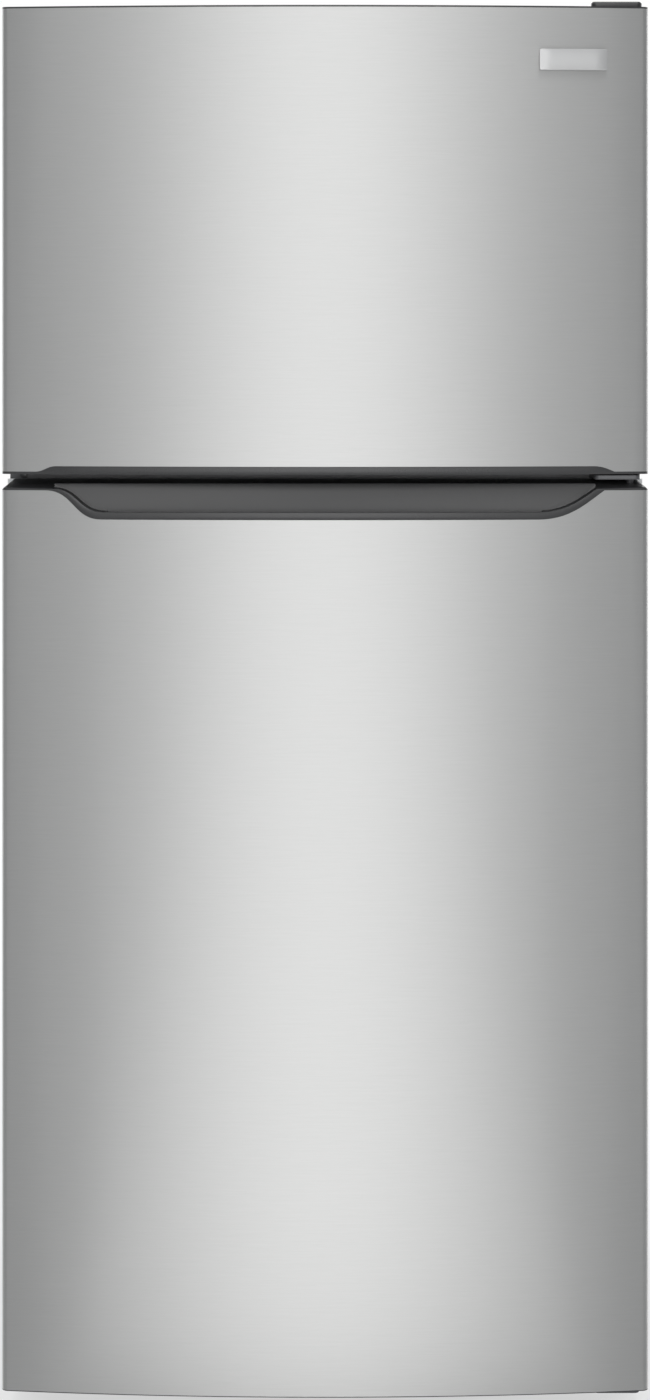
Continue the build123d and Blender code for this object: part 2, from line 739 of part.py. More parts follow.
# ---------------------------------------------------------------- control housing, lamp lens, switch
control_half = 230.0
control_front = bin_inner - 50
control_depth = 180.0
control_height = 60.0
control_wall = 2.5
control_bottom = fresh_ceiling - control_height
knob_z = fresh_ceiling - control_height / 2
nose = (190.0, 226.0)
nose_front = door_back + dyke_height + 10
plunger_x = sum(nose) / 2
plunger_radius = 4.0
plunger_tip = door_back + dyke_height + 1
lens_half = 70.0
lens = (control_front + 80, control_front + 140)
with BuildPart() as control_housing:
    block(
        both(control_half), (control_front, control_front + control_depth), (control_bottom, fresh_ceiling)
    )
    block(nose, (nose_front, control_front + 5), (control_bottom + 20, fresh_ceiling))
    block(
        both(control_half - control_wall),
        (control_front + control_wall, control_front + control_depth - control_wall),
        (control_bottom + control_wall, fresh_ceiling + 1), Mode.SUBTRACT,
    )
    block(
        (nose[0] + control_wall, nose[1] - control_wall), (nose_front + control_wall, control_front + 6),
        (control_bottom + 20 + control_wall, fresh_ceiling + 1), Mode.SUBTRACT,
    )
    block(both(lens_half), lens, (control_bottom - 1, control_bottom + 3), Mode.SUBTRACT)
    rod((0, control_front - 1, knob_z), (0, 1, 0), dial_shaft + pin_fit, 5, Mode.SUBTRACT)
    rod((plunger_x, nose_front - 1, knob_z + 5), (0, 1, 0), plunger_radius + 0.2, 5, Mode.SUBTRACT)
control_housing.part.label = "control_housing"
export_step(control_housing.part, "parts/control_housing.step")

with BuildPart() as light_lens:
    block(both(lens_half), lens, (control_bottom - 3, control_bottom + control_wall))
    chamfer(edges().group_by(Axis.Z)[0], 2)
light_lens.part.label = "light_lens"
export_step(light_lens.part, "parts/light_lens.step")

with BuildPart() as temperature_dial:
    rod((0, control_front - 0.5, knob_z), (0, -1, 0), 22, 6)
    block((-4.5, 4.5), (control_front - 16, control_front - 6), (knob_z - 20, knob_z + 20))
    rod((0, control_front - 1, knob_z), (0, 1, 0), dial_shaft, control_wall + 6)
temperature_dial.part.label = "temperature_dial"
export_step(temperature_dial.part, "parts/temperature_dial.step")

# Push rod of the lamp switch. The shut door holds it in.
with BuildPart() as light_switch:
    rod(
        (plunger_x, plunger_tip, knob_z + 5), (0, 1, 0), plunger_radius, control_front - plunger_tip - 10
    )
    fillet(edges().group_by(Axis.Y)[0], 2)
light_switch.part.label = "light_switch"
export_step(light_switch.part, "parts/light_switch.step")

# ---------------------------------------------------------------- shelves, crispers
shelf_back = liner_back - 3
slide_half = 60.0  # slot of each humidity slide
slide_x = fresh_half / 2
slide_groove = 5.0
slide_height = 8.0
cover_rail = 26.0  # height of the crisper cover's front rail
with BuildPart() as shelf_frames:
    for level in (cover_level, *shelf_levels):
        block(both(shelf_half), (shelf_front, shelf_back), (level - shelf_thickness, level))
        block(
            both(shelf_half - shelf_border), (shelf_front + shelf_border, shelf_back - shelf_border),
            (level - shelf_thickness - 1, level + 1), Mode.SUBTRACT,
        )
        block(
            both(shelf_half - shelf_border + glass_rebate),
            (shelf_front + shelf_border - glass_rebate, shelf_back - shelf_border + glass_rebate),
            (level - glass_thickness, level + 1), Mode.SUBTRACT,
        )
    # the crisper cover's deeper front rail, with a groove for each humidity slide
    block(
        both(shelf_half - rail_width), (shelf_front, shelf_front + 12),
        (crisper_top + 2, cover_level - shelf_thickness),
    )
    for x in (-slide_x, slide_x):
        block(
            (x - slide_half, x + slide_half), (shelf_front - 1, shelf_front + slide_groove),
            (cover_level - slide_height - 3, cover_level - 3), Mode.SUBTRACT,
        )
shelf_frames.part.label = "shelf_frames"
export_step(shelf_frames.part, "parts/shelf_frames.step")

with BuildPart() as shelf_glass:
    for level in (cover_level, *shelf_levels):
        block(
            both(shelf_half - shelf_border + glass_rebate),
            (shelf_front + shelf_border - glass_rebate, shelf_back - shelf_border + glass_rebate),
            (level - glass_thickness, level),
        )
shelf_glass.part.label = "shelf_glass"
export_step(shelf_glass.part, "parts/shelf_glass.step")

slide_fit = 0.3
slide_length = 70.0
for name, x in (("humidity_slide_left", -slide_x), ("humidity_slide_right", slide_x)):
    low = x - slide_half + slide_fit
    middle_z = cover_level - 3 - slide_height / 2
    with BuildPart() as humidity_slide:
        block(
            (low, low + slide_length), (shelf_front + slide_fit, shelf_front + slide_groove - slide_fit),
            (middle_z - slide_height / 2 + slide_fit, middle_z + slide_height / 2 - slide_fit),
        )
        block(
            (low + slide_length / 2 - 8, low + slide_length / 2 + 8),
            (shelf_front - 5, shelf_front + slide_groove - slide_fit), (middle_z - 3, middle_z + 3),
        )
    humidity_slide.part.label = name
    export_step(humidity_slide.part, f"parts/{name}.step")


def open_tray(x, y, z, wall, radius):
    """Thin-walled tray, open at the top, with rounded upright corners."""
    block(x, y, z)
    fillet(edges().filter_by(Axis.Z), radius)
    offset(amount=-wall, openings=faces().sort_by(Axis.Z)[-1])


crisper_width = fresh_half - crisper_side - crisper_gap / 2
crisper_back = step_y - 5
lip = 9.0
for name, low in (
    ("crisper_left", -fresh_half + crisper_side),
    ("crisper_right", crisper_gap / 2),
):
    with BuildPart() as crisper:
        open_tray(
            (low, low + crisper_width), (crisper_front + lip, crisper_back),
            (fresh_floor + crisper_lift, crisper_top), bin_wall, 14,
        )
        # finger lip along the top of the front
        block(
            (low + 30, low + crisper_width - 30), (crisper_front, crisper_front + lip + 1),
            (crisper_top - 5, crisper_top),
        )
        block(
            (low + 30, low + crisper_width - 30), (crisper_front, crisper_front + 3),
            (crisper_top - 16, crisper_top),
        )
    crisper.part.label = name
    export_step(crisper.part, f"parts/{name}.step")

# Wire shelf: three rods from side to side, wires from front to back welded on them.
freezer_shelf_back = cover_y - 6
rod_z = freezer_shelf_level - 2 * wire_radius - shelf_rod_radius + 1
wire_spacing = 28.0
with BuildPart() as freezer_shelf:
    middle_y = (shelf_front + freezer_shelf_back) / 2
    for y in (shelf_front + 6, middle_y, freezer_shelf_back - 6):
        rod((-freezer_shelf_half, y, rod_z), (1, 0, 0), shelf_rod_radius, 2 * freezer_shelf_half)
    wires = int(2 * (freezer_shelf_half - 12) // wire_spacing) + 1
    for i in range(wires):
        x = (i - (wires - 1) / 2) * wire_spacing
        rod(
            (x, shelf_front, freezer_shelf_level - wire_radius), (0, 1, 0), wire_radius,
            freezer_shelf_back - shelf_front,
        )
freezer_shelf.part.label = "freezer_shelf"
export_step(freezer_shelf.part, "parts/freezer_shelf.step")


# ---------------------------------------------------------------- doors: shared pieces
def door_liner(outer_half, low, high, door_low, door_high):
    """Vacuum-formed back of a door: flange, raised dyke all round, recessed pan inside it."""
    crest = door_back + dyke_height
    inner = outer_half - dyke_width
    limits = ((outer_half, low, high), (inner, low + dyke_width, high - dyke_width))
    (a, a_low, a_high), (b, b_low, b_high) = limits
    w = liner_wall
    block(both(half - 1), (door_back - w, door_back), (door_low, door_high))
    block(both(a), (door_back - w, crest), (a_low, a_high))
    block(both(b), (pan_y - w, crest), (b_low, b_high))
    block(both(b - w), (pan_y, crest + 1), (b_low + w, b_high - w), Mode.SUBTRACT)
    block(both(a - w), (door_back - w - 1, crest - w), (a_low + w, a_high - w), Mode.SUBTRACT)
    block(both(b), (pan_y - w, crest), (b_low, b_high))
    block(both(b - w), (pan_y, crest + 1), (b_low + w, b_high - w), Mode.SUBTRACT)


def door_gasket(door_low, door_high):
    """Magnetic seal all round the back of a door."""
    outer = half - gasket_inset
    low, high = door_low + gasket_end, door_high - gasket_end
    y = (door_back, flange_y - seal_gap)
    block(both(outer), y, (low, high))
    block(
        both(outer - gasket_width), (y[0] - 1, y[1] + 1), (low + gasket_width, high - gasket_width),
        Mode.SUBTRACT,
    )


def pin_bore(z, direction):
    """Bore for a hinge pin, from an end of the door."""
    rod((hinge_x, hinge_y, z), (0, 0, direction), pin_radius + pin_fit, pin_depth, Mode.SUBTRACT)


# ---------------------------------------------------------------- lower door
fridge_dyke_half = fresh_half - dyke_gap
freezer_dyke_half = freezer_half - dyke_gap - 3
fridge_dyke = (fresh_floor + dyke_gap, fresh_ceiling - dyke_gap)
freezer_dyke = (freezer_floor + dyke_gap, freezer_ceiling - dyke_gap)
skin_rear = door_back - liner_wall
bottom_trim = 1.0
plug_z = grip_z - cap_plug  # underside of the handle moulding

with BuildPart() as fridge_door_skin:
    door_slab(0, skin_rear, door_bottom + bottom_trim, fridge_top - shoulder_drop)
    door_slab(sheet, skin_rear + 1, door_bottom, fridge_top, Mode.SUBTRACT)
    with BuildSketch(Plane.XZ):
        draw_over_grip(0)
    extrude(amount=depth, both=True, mode=Mode.SUBTRACT)
fridge_door_skin.part.label = "fridge_door_skin"
export_step(fridge_door_skin.part, "parts/fridge_door_skin.step")

# Handle moulding: fills the top of the door, shows as a lip along the dipped edge of the sheet and is
# hollowed behind the lip for the fingers.
with BuildPart() as lower_trough:
    door_slab(lip_thickness, pocket_y, grip_z + lip_height - trough_depth, grip_z + lip_height + 1)
    for side in (-1, 1):
        block(
            sorted((side * (grip_half - 6), side * half)), (front_y, pocket_y + 1), (plug_z, fridge_top),
            Mode.SUBTRACT,
        )

with BuildPart() as fridge_door_handle_cap:
    door_slab(0, skin_rear, plug_z, fridge_top)
    with BuildSketch(Plane.XZ) as ends:
        for side in (-1, 1):
            with BuildLine():
                Polyline(
                    (side * (half - cap_chamfer), fridge_top),
                    (side * (half + 1), fridge_top),
                    (side * (half + 1), fridge_top - cap_chamfer - 1),
                    close=True,
                )
            make_face()
    extrude(ends.sketch, amount=depth, both=True, mode=Mode.SUBTRACT)
    # top falls towards the front
    with BuildSketch(Plane.YZ) as fall:
        with BuildLine():
            Polyline(
                (front_y - 1, fridge_top - cap_fall),
                (edge_y - cap_fall_front, fridge_top - cap_fall),
                (edge_y + cap_fall_back, fridge_top),
                (edge_y + cap_fall_back, fridge_top + 1),
                (front_y - 1, fridge_top + 1),
                close=True,
            )
        make_face()
    extrude(fall.sketch, amount=width, both=True, mode=Mode.SUBTRACT)
    # where the sheet wraps it
    add(fridge_door_skin.part, mode=Mode.SUBTRACT)
    # pocket: open at the front above the lip, and hollowed behind the lip
    with BuildSketch(Plane.XZ.offset(-pocket_y)):
        draw_over_grip(lip_height)
    extrude(amount=depth, mode=Mode.SUBTRACT)
    add(lower_trough.part, mode=Mode.SUBTRACT)
    pin_bore(fridge_top, -1)
fridge_door_handle_cap.part.label = "fridge_door_handle_cap"
export_step(fridge_door_handle_cap.part, "parts/fridge_door_handle_cap.step")

with BuildPart() as fridge_door_bottom_cap:
    door_slab(0, skin_rear, door_bottom, door_bottom + bottom_trim)
    door_slab(sheet, skin_rear, door_bottom + bottom_trim, door_bottom + cap_plug + 4)
    pin_bore(door_bottom, 1)
fridge_door_bottom_cap.part.label = "fridge_door_bottom_cap"
export_step(fridge_door_bottom_cap.part, "parts/fridge_door_bottom_cap.step")

with BuildPart() as fridge_door_liner:
    door_liner(fridge_dyke_half, *fridge_dyke, door_bottom, fridge_top)
fridge_door_liner.part.label = "fridge_door_liner"
export_step(fridge_door_liner.part, "parts/fridge_door_liner.step")


def dyke_fill(outer_half, low, high):
    """Foam inside a door liner's dyke, and none where its pan is."""
    w = liner_wall
    block(both(outer_half - w), (skin_rear, door_back + dyke_height - w), (low + w, high - w))
    block(
        both(outer_half - dyke_width), (pan_y - w, door_back + dyke_height),
        (low + dyke_width, high - dyke_width), Mode.SUBTRACT,
    )


with BuildPart() as fridge_door_foam:
    door_slab(sheet, skin_rear, door_bottom + cap_plug + 4, plug_z)
    dyke_fill(fridge_dyke_half, *fridge_dyke)
fridge_door_foam.part.label = "fridge_door_foam"
export_step(fridge_door_foam.part, "parts/fridge_door_foam.step")

with BuildPart() as fridge_door_gasket:
    door_gasket(door_bottom + 8, fridge_top + 8)
fridge_door_gasket.part.label = "fridge_door_gasket"
export_step(fridge_door_gasket.part, "parts/fridge_door_gasket.step")

# ---------------------------------------------------------------- lower door: bins, dairy compartment
bin_half = fridge_dyke_half - dyke_width - liner_wall
bins = (("lower_door_bin", 152.0, 110.0), ("upper_door_bin", 500.0, 100.0))
for name, low, tall in bins:
    with BuildPart() as door_bin:
        open_tray(both(bin_half), (pan_y, bin_inner), (low, low + tall), bin_wall, 6)
        # front lowered in the middle so that bottles can be seen
        block(
            both(bin_half - 40), (bin_inner - bin_wall - 1, bin_inner + 1), (low + tall - 30, low + tall + 1),
            Mode.SUBTRACT,
        )
    door_bin.part.label = name
    export_step(door_bin.part, f"parts/{name}.step")

dairy_low = 840.0
dairy_tall = 90.0
dairy_left = -bin_half
dairy_right = -4.0
dairy_front_height = 40.0
lid_pin_radius = 3.0
lid_pin_y = pan_y + 12
lid_pin_z = dairy_low + dairy_tall - 8
with BuildPart() as dairy_compartment:
    open_tray(
        (dairy_left, dairy_right), (pan_y, bin_inner), (dairy_low, dairy_low + dairy_tall), bin_wall, 4
    )
    block(
        (dairy_left + bin_wall, dairy_right - bin_wall), (bin_inner - bin_wall - 1, bin_inner + 1),
        (dairy_low + dairy_front_height, dairy_low + dairy_tall + 1), Mode.SUBTRACT,
    )
    rod(
        (dairy_left - 1, lid_pin_y, lid_pin_z), (1, 0, 0), lid_pin_radius + pin_fit,
        dairy_right - dairy_left + 2, Mode.SUBTRACT,
    )
dairy_compartment.part.label = "dairy_compartment"
export_step(dairy_compartment.part, "parts/dairy_compartment.step")

lid_fit = 0.5
with BuildPart() as dairy_lid:
    lid_x = (dairy_left + bin_wall + lid_fit, dairy_right - bin_wall - lid_fit)
    block(lid_x, (lid_pin_y - 3, bin_inner - 0.5), (lid_pin_z - 1.5, lid_pin_z + 1.5))
    block(
        lid_x, (bin_inner - 3, bin_inner - 0.5),
        (dairy_low + dairy_front_height + lid_fit, lid_pin_z + 1.5),
    )
    rod((lid_x[0], lid_pin_y, lid_pin_z), (1, 0, 0), lid_pin_radius + 1.5, lid_x[1] - lid_x[0])
    rod(
        (dairy_left, lid_pin_y, lid_pin_z), (1, 0, 0), lid_pin_radius, dairy_right - dairy_left
    )
dairy_lid.part.label = "dairy_lid"
export_step(dairy_lid.part, "parts/dairy_lid.step")

# ---------------------------------------------------------------- upper door
freezer_cap_top = freezer_bottom + freezer_lip + cap_plug + 12
with BuildPart() as freezer_door_skin:
    door_slab(0, skin_rear, freezer_bottom + freezer_trim, freezer_top - top_trim)
    door_slab(sheet, skin_rear + 1, freezer_bottom, freezer_top, Mode.SUBTRACT)
    with BuildSketch(Plane.XZ):
        draw_under_lip()
    extrude(amount=depth, both=True, mode=Mode.SUBTRACT)
freezer_door_skin.part.label = "freezer_door_skin"
export_step(freezer_door_skin.part, "parts/freezer_door_skin.step")

with BuildPart() as upper_trough:
    door_slab(lip_thickness, pocket_y, freezer_bottom - 1, freezer_bottom + freezer_trough)
    for side in (-1, 1):
        block(
            sorted((side * grip_half, side * half)), (front_y, pocket_y + 1),
            (freezer_bottom - 1, freezer_top), Mode.SUBTRACT,
        )

with BuildPart() as freezer_door_handle_cap:
    door_slab(0, skin_rear, freezer_bottom, freezer_cap_top)
    add(freezer_door_skin.part, mode=Mode.SUBTRACT)
    add(upper_trough.part, mode=Mode.SUBTRACT)
    pin_bore(freezer_bottom, 1)
freezer_door_handle_cap.part.label = "freezer_door_handle_cap"
export_step(freezer_door_handle_cap.part, "parts/freezer_door_handle_cap.step")

with BuildPart() as freezer_door_top_cap:
    door_slab(0, skin_rear, freezer_top - top_trim, freezer_top)
    door_slab(sheet, skin_rear, freezer_top - cap_plug - 4, freezer_top - top_trim)
    pin_bore(freezer_top, -1)
freezer_door_top_cap.part.label = "freezer_door_top_cap"
export_step(freezer_door_top_cap.part, "parts/freezer_door_top_cap.step")

with BuildPart() as freezer_door_liner:
    door_liner(freezer_dyke_half, *freezer_dyke, freezer_bottom, freezer_top)
freezer_door_liner.part.label = "freezer_door_liner"
export_step(freezer_door_liner.part, "parts/freezer_door_liner.step")

with BuildPart() as freezer_door_foam:
    door_slab(sheet, skin_rear, freezer_cap_top, freezer_top - cap_plug - 4)
    dyke_fill(freezer_dyke_half, *freezer_dyke)
freezer_door_foam.part.label = "freezer_door_foam"
export_step(freezer_door_foam.part, "parts/freezer_door_foam.step")

with BuildPart() as freezer_door_gasket:
    door_gasket(freezer_bottom - 8, freezer_top)
freezer_door_gasket.part.label = "freezer_door_gasket"
export_step(freezer_door_gasket.part, "parts/freezer_door_gasket.step")

# Two shallow racks on the upper door.
rack_depth = 92.0
rack_tall = 62.0
rack_half = freezer_dyke_half - dyke_width - liner_wall
rack_levels = (freezer_dyke[0] + dyke_width + 4, freezer_dyke[0] + dyke_width + 190)
with BuildPart() as freezer_door_racks:
    for low in rack_levels:
        block(both(rack_half), (pan_y, pan_y + rack_depth), (low, low + rack_tall))
        block(
            both(rack_half - bin_wall), (pan_y + bin_wall, pan_y + rack_depth - bin_wall),
            (low + bin_wall, low + rack_tall + 1), Mode.SUBTRACT,
        )
freezer_door_racks.part.label = "freezer_door_racks"
export_step(freezer_door_racks.part, "parts/freezer_door_racks.step")

# Blank plate near the top corner of the upper door.
badge_x = half - 89
badge_z = freezer_top - 63
badge_size = (80.0, 25.0)
badge_thickness = 3.0
with BuildPart() as badge_plate:
    with BuildSketch(Plane.XZ.offset(-edge_y)):
        with Locations((badge_x, badge_z)):
            RectangleRounded(*badge_size, 2)
    extrude(amount=front_bow)
    door_slab(-badge_thickness, skin_rear, badge_z - 30, badge_z + 30, Mode.INTERSECT)
    door_slab(0, skin_rear, badge_z - 30, badge_z + 30, Mode.SUBTRACT)
badge_plate.part.label = "badge_plate"
export_step(badge_plate.part, "parts/badge_plate.step")
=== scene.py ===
"""A top freezer refrigerator: charcoal cabinet, two bowed brushed-steel doors and what they close on.

Metres throughout. X runs to the right, the doors face -Y and Z is up, with the origin on the floor.
"""

import math

import bmesh
import bpy
from mathutils import Matrix, Vector


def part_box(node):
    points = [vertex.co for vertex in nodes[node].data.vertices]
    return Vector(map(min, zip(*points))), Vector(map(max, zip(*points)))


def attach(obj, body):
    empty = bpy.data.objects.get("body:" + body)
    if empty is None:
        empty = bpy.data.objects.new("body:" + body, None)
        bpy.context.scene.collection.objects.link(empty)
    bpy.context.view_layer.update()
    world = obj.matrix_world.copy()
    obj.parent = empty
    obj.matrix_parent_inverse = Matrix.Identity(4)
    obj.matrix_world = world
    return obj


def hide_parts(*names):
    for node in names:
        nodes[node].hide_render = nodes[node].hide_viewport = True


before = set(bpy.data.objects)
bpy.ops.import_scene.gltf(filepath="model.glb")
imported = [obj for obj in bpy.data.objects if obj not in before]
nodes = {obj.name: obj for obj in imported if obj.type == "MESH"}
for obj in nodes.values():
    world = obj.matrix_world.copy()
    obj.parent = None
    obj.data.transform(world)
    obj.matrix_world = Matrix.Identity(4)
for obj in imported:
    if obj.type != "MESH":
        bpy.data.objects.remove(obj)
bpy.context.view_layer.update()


# ---------------------------------------------------------------- camera
# The viewer stands four metres in front with the eye a little above the door gap, looks straight ahead,
# and takes in the lower half by shifting the lens down, so upright lines stay upright.
eye_distance = 4.011
eye_height = 1.2996
focal_length = 79.63
lens_shift = -0.27

camera_data = bpy.data.cameras.new("Camera")
camera_data.sensor_width = 36.0
camera_data.lens = focal_length
camera_data.shift_y = lens_shift
camera = bpy.data.objects.new("Camera", camera_data)
camera.location = (0.0, -eye_distance, eye_height)
camera.rotation_euler = (math.radians(90), 0.0, 0.0)
bpy.context.scene.collection.objects.link(camera)
bpy.context.scene.camera = camera
bpy.context.scene.view_settings.view_transform = "Standard"


# ---------------------------------------------------------------- studio light
# White cyclorama all round, and tall softboxes nested behind the camera, so the bowed doors are brightest
# down the middle and fade evenly towards their sides. Smaller boxes stand on the floor in front, behind
# both sides, at the back and overhead.
surround_light = 0.58
softboxes = (
    # name, width, height, where it stands, what it faces, watts
    ("key_core", 1.0, 5.0, (0.0, -6.4, 1.9), (0.0, -1.0, 1.9), 33.0),
    ("key_wide", 2.6, 5.0, (0.0, -6.5, 1.9), (0.0, -1.0, 1.9), 93.0),
    ("key_broad", 4.6, 5.0, (0.0, -6.6, 1.9), (0.0, -1.0, 1.9), 34.0),
    ("low_front", 0.7, 1.5, (0.0, -1.25, 0.02), (0.0, -1.25, 1.0), 3.2),
    ("left_fill", 1.6, 2.6, (-4.2, 2.6, 1.9), (0.0, 0.0, 0.8), 40.0),
    ("right_fill", 1.6, 2.6, (4.2, 2.6, 1.9), (0.0, 0.0, 0.8), 40.0),
    ("back_fill", 3.0, 2.6, (0.0, 5.2, 2.3), (0.0, 0.0, 0.8), 80.0),
    ("top_fill", 2.4, 2.4, (0.0, -0.6, 4.6), (0.0, 0.0, 0.8), 55.0),
)
for name, box_width, box_height, stand, target, watts in softboxes:
    lamp = bpy.data.lights.new(name, "AREA")
    lamp.shape = "RECTANGLE"
    lamp.size, lamp.size_y, lamp.energy = box_width, box_height, watts
    holder = bpy.data.objects.new(name, lamp)
    holder.location = stand
    holder.rotation_euler = (Vector(target) - Vector(stand)).to_track_quat("-Z", "Y").to_euler()
    holder.visible_camera = False
    bpy.context.scene.collection.objects.link(holder)

world = bpy.data.worlds.new("Cyclorama")
bpy.context.scene.world = world
world.use_nodes = True
sky = world.node_tree
sky.nodes.clear()
backdrop = sky.nodes.new("ShaderNodeBackground")
backdrop.inputs["Color"].default_value = (1.0, 1.0, 1.0, 1.0)
ambient = sky.nodes.new("ShaderNodeBackground")
ambient.inputs["Color"].default_value = (0.96, 0.98, 1.0, 1.0)
ambient.inputs["Strength"].default_value = surround_light
seen = sky.nodes.new("ShaderNodeLightPath")
choose = sky.nodes.new("ShaderNodeMixShader")
sky_out = sky.nodes.new("ShaderNodeOutputWorld")
sky.links.new(seen.outputs["Is Camera Ray"], choose.inputs[0])
sky.links.new(ambient.outputs[0], choose.inputs[1])
sky.links.new(backdrop.outputs[0], choose.inputs[2])
sky.links.new(choose.outputs[0], sky_out.inputs["Surface"])


# ---------------------------------------------------------------- floor
# A plain pale sweep with painted light: it is a little self-lit, and camera rays see at least half white glow
# even beside the doors, so the shade under the doors is painted out and stays soft. Further out it fades into
# the white backdrop.
floor_shades = (0.64, 0.67)
floor_glow = 0.16
fade_start = 1.0
fade_end = 3.6
# Share of white glow that camera rays see beside the doors: painted light that lifts the shade under the
# fridge.
least_white_glow = 0.5
reach = 30.0


def add(tree, kind, settings=None, **inputs):
    """A node of that kind. Each input, by its name or as i and its number, takes a value or a socket."""
    made = tree.nodes.new("ShaderNode" + kind)
    for key, value in (settings or {}).items():
        setattr(made, key, value)
    for key, value in inputs.items():
        socket = made.inputs[int(key[1:])] if key[1:].isdigit() else made.inputs[key.replace("_", " ")]
        if isinstance(value, bpy.types.NodeSocket):
            tree.links.new(value, socket)
        else:
            socket.default_value = value
    return made


def finish_named(name, **values):
    """A new material with its own Principled shader: (material, tree, shader)."""
    material = bpy.data.materials.new(name)
    material.use_nodes = True
    shader = material.node_tree.nodes["Principled BSDF"]
    for key, value in values.items():
        shader.inputs[key.replace("_", " ")].default_value = value
    return material, material.node_tree, shader


floor_paint, tree, shader = finish_named("floor_paint", Roughness=0.85)
shade = add(tree, "TexNoise", Scale=1.5, Detail=2.0)
tint = add(tree, "Mix", {"data_type": "RGBA"}, i0=shade.outputs["Fac"])
for socket, shade_level in zip(tint.inputs[6:8], floor_shades):
    socket.default_value = (shade_level, shade_level, shade_level, 1.0)
tree.links.new(tint.outputs[2], shader.inputs["Base Color"])
shader.inputs["Emission Color"].default_value = (1.0, 1.0, 1.0, 1.0)
shader.inputs["Emission Strength"].default_value = floor_glow
place_on_floor = add(tree, "TexCoord").outputs["Object"]
away = add(tree, "VectorMath", {"operation": "LENGTH"}, i0=place_on_floor).outputs["Value"]
fade = add(
    tree, "MapRange", {"interpolation_type": "SMOOTHSTEP"}, i0=away, i1=fade_start, i2=fade_end, i3=least_white_glow
).outputs[0]
looked_at = add(tree, "LightPath").outputs["Is Camera Ray"]
blend = add(tree, "Math", {"operation": "MULTIPLY"}, i0=fade, i1=looked_at).outputs[0]
# White glow mixed in for camera rays only: painted light over the floor's shade, at least half of it even
# next to the fridge.
white = add(tree, "Emission", Strength=1.0).outputs[0]
run_out = add(tree, "MixShader", i0=blend, i1=shader.outputs[0], i2=white)
tree.links.new(run_out.outputs[0], tree.nodes["Material Output"].inputs["Surface"])
floor_mesh = bpy.data.meshes.new("studio_floor")
floor_corners = [(reach * x, reach * y, 0.0) for x, y in ((-1, -1), (1, -1), (1, 1), (-1, 1))]
floor_mesh.from_pydata(floor_corners, [], [(0, 1, 2, 3)])
studio_floor = bpy.data.objects.new("studio_floor", floor_mesh)
floor_mesh.materials.append(floor_paint)
bpy.context.scene.collection.objects.link(studio_floor)


# ---------------------------------------------------------------- outer case
# One sheet of pre-painted steel folded over the sides and the roof, with a pebbled satin charcoal coat.
# The pebbling is embossed in the sheet, so it catches light at a low angle.
def new_group(name, inputs, outputs):
    """An empty shader node group with those sockets: (group, its input node, its output node)."""
    group = bpy.data.node_groups.new(name, "ShaderNodeTree")
    for socket, kind, value in inputs:
        made = group.interface.new_socket(socket, in_out="INPUT", socket_type="NodeSocket" + kind)
        made.default_value = value
    for socket, kind in outputs:
        group.interface.new_socket(socket, in_out="OUTPUT", socket_type="NodeSocket" + kind)
    return group, group.nodes.new("NodeGroupInput"), group.nodes.new("NodeGroupOutput")


def place(tree, group, **values):
    """The node group placed in a material's tree, with its own values."""
    made = tree.nodes.new("ShaderNodeGroup")
    made.node_tree = group
    for key, value in values.items():
        socket = made.inputs[key.replace("_", " ")]
        if isinstance(value, bpy.types.NodeSocket):
            tree.links.new(value, socket)
        else:
            socket.default_value = value
    return made


skin, taken, given = new_group(
    "Surface Grain",
    (
        ("Colour", "Color", (0.5, 0.5, 0.5, 1.0)),
        ("Mottle", "Float", 0.06),
        ("Roughness", "Float", 0.4),
        ("Spread", "Float", 0.08),
        ("Grain", "Float", 900.0),
        ("Cells", "Float", 0.0),
    ),
    (("Colour", "Color"), ("Roughness", "Float"), ("Height", "Float")),
)
spot = add(skin, "TexCoord").outputs["Object"]
cloud = add(skin, "TexNoise", Vector=spot, Scale=7.0, Detail=3.0).outputs["Fac"]
fine = add(skin, "TexNoise", Vector=spot, Scale=taken.outputs["Grain"], Detail=2.0).outputs["Fac"]
pebble = add(
    skin, "TexVoronoi", {"feature": "SMOOTH_F1"}, Vector=spot, Scale=taken.outputs["Grain"], Smoothness=0.6
).outputs["Distance"]
centred = add(skin, "Math", {"operation": "SUBTRACT"}, i0=cloud, i1=0.5).outputs[0]
swing = add(
    skin, "Math", {"operation": "MULTIPLY_ADD"}, i0=centred, i1=taken.outputs["Mottle"], i2=1.0
).outputs[0]
tone = add(skin, "VectorMath", {"operation": "SCALE"}, i0=taken.outputs["Colour"], Scale=swing).outputs[0]
skin.links.new(tone, given.inputs["Colour"])
fine_off = add(skin, "Math", {"operation": "SUBTRACT"}, i0=fine, i1=0.5).outputs[0]
both_off = add(skin, "Math", {"operation": "ADD"}, i0=fine_off, i1=centred).outputs[0]
rough = add(
    skin, "Math", {"operation": "MULTIPLY_ADD"},
    i0=both_off, i1=taken.outputs["Spread"], i2=taken.outputs["Roughness"],
).outputs[0]
skin.links.new(rough, given.inputs["Roughness"])
lift = add(skin, "Mix", {"data_type": "FLOAT"}, i0=taken.outputs["Cells"], i2=fine, i3=pebble).outputs[0]
skin.links.new(lift, given.inputs["Height"])


def grained(
    name, colour, roughness, mottle=0.06, spread=0.08, grain=900.0, cells=0.0, bump=0.12, depth=0.0002, **more
):
    """A material whose colour, roughness and relief all come from the Surface Grain group."""
    material, tree, shader = finish_named(name, **more)
    made = place(
        tree, skin,
        Colour=(*colour, 1.0), Mottle=mottle, Roughness=roughness, Spread=spread, Grain=grain, Cells=cells,
    )
    tree.links.new(made.outputs["Colour"], shader.inputs["Base Color"])
    tree.links.new(made.outputs["Roughness"], shader.inputs["Roughness"])
    relief = add(tree, "Bump", Strength=bump, Distance=depth, Height=made.outputs["Height"])
    tree.links.new(relief.outputs[0], shader.inputs["Normal"])
    return material


sharp_turn = math.radians(32)
joined_within = 0.00001


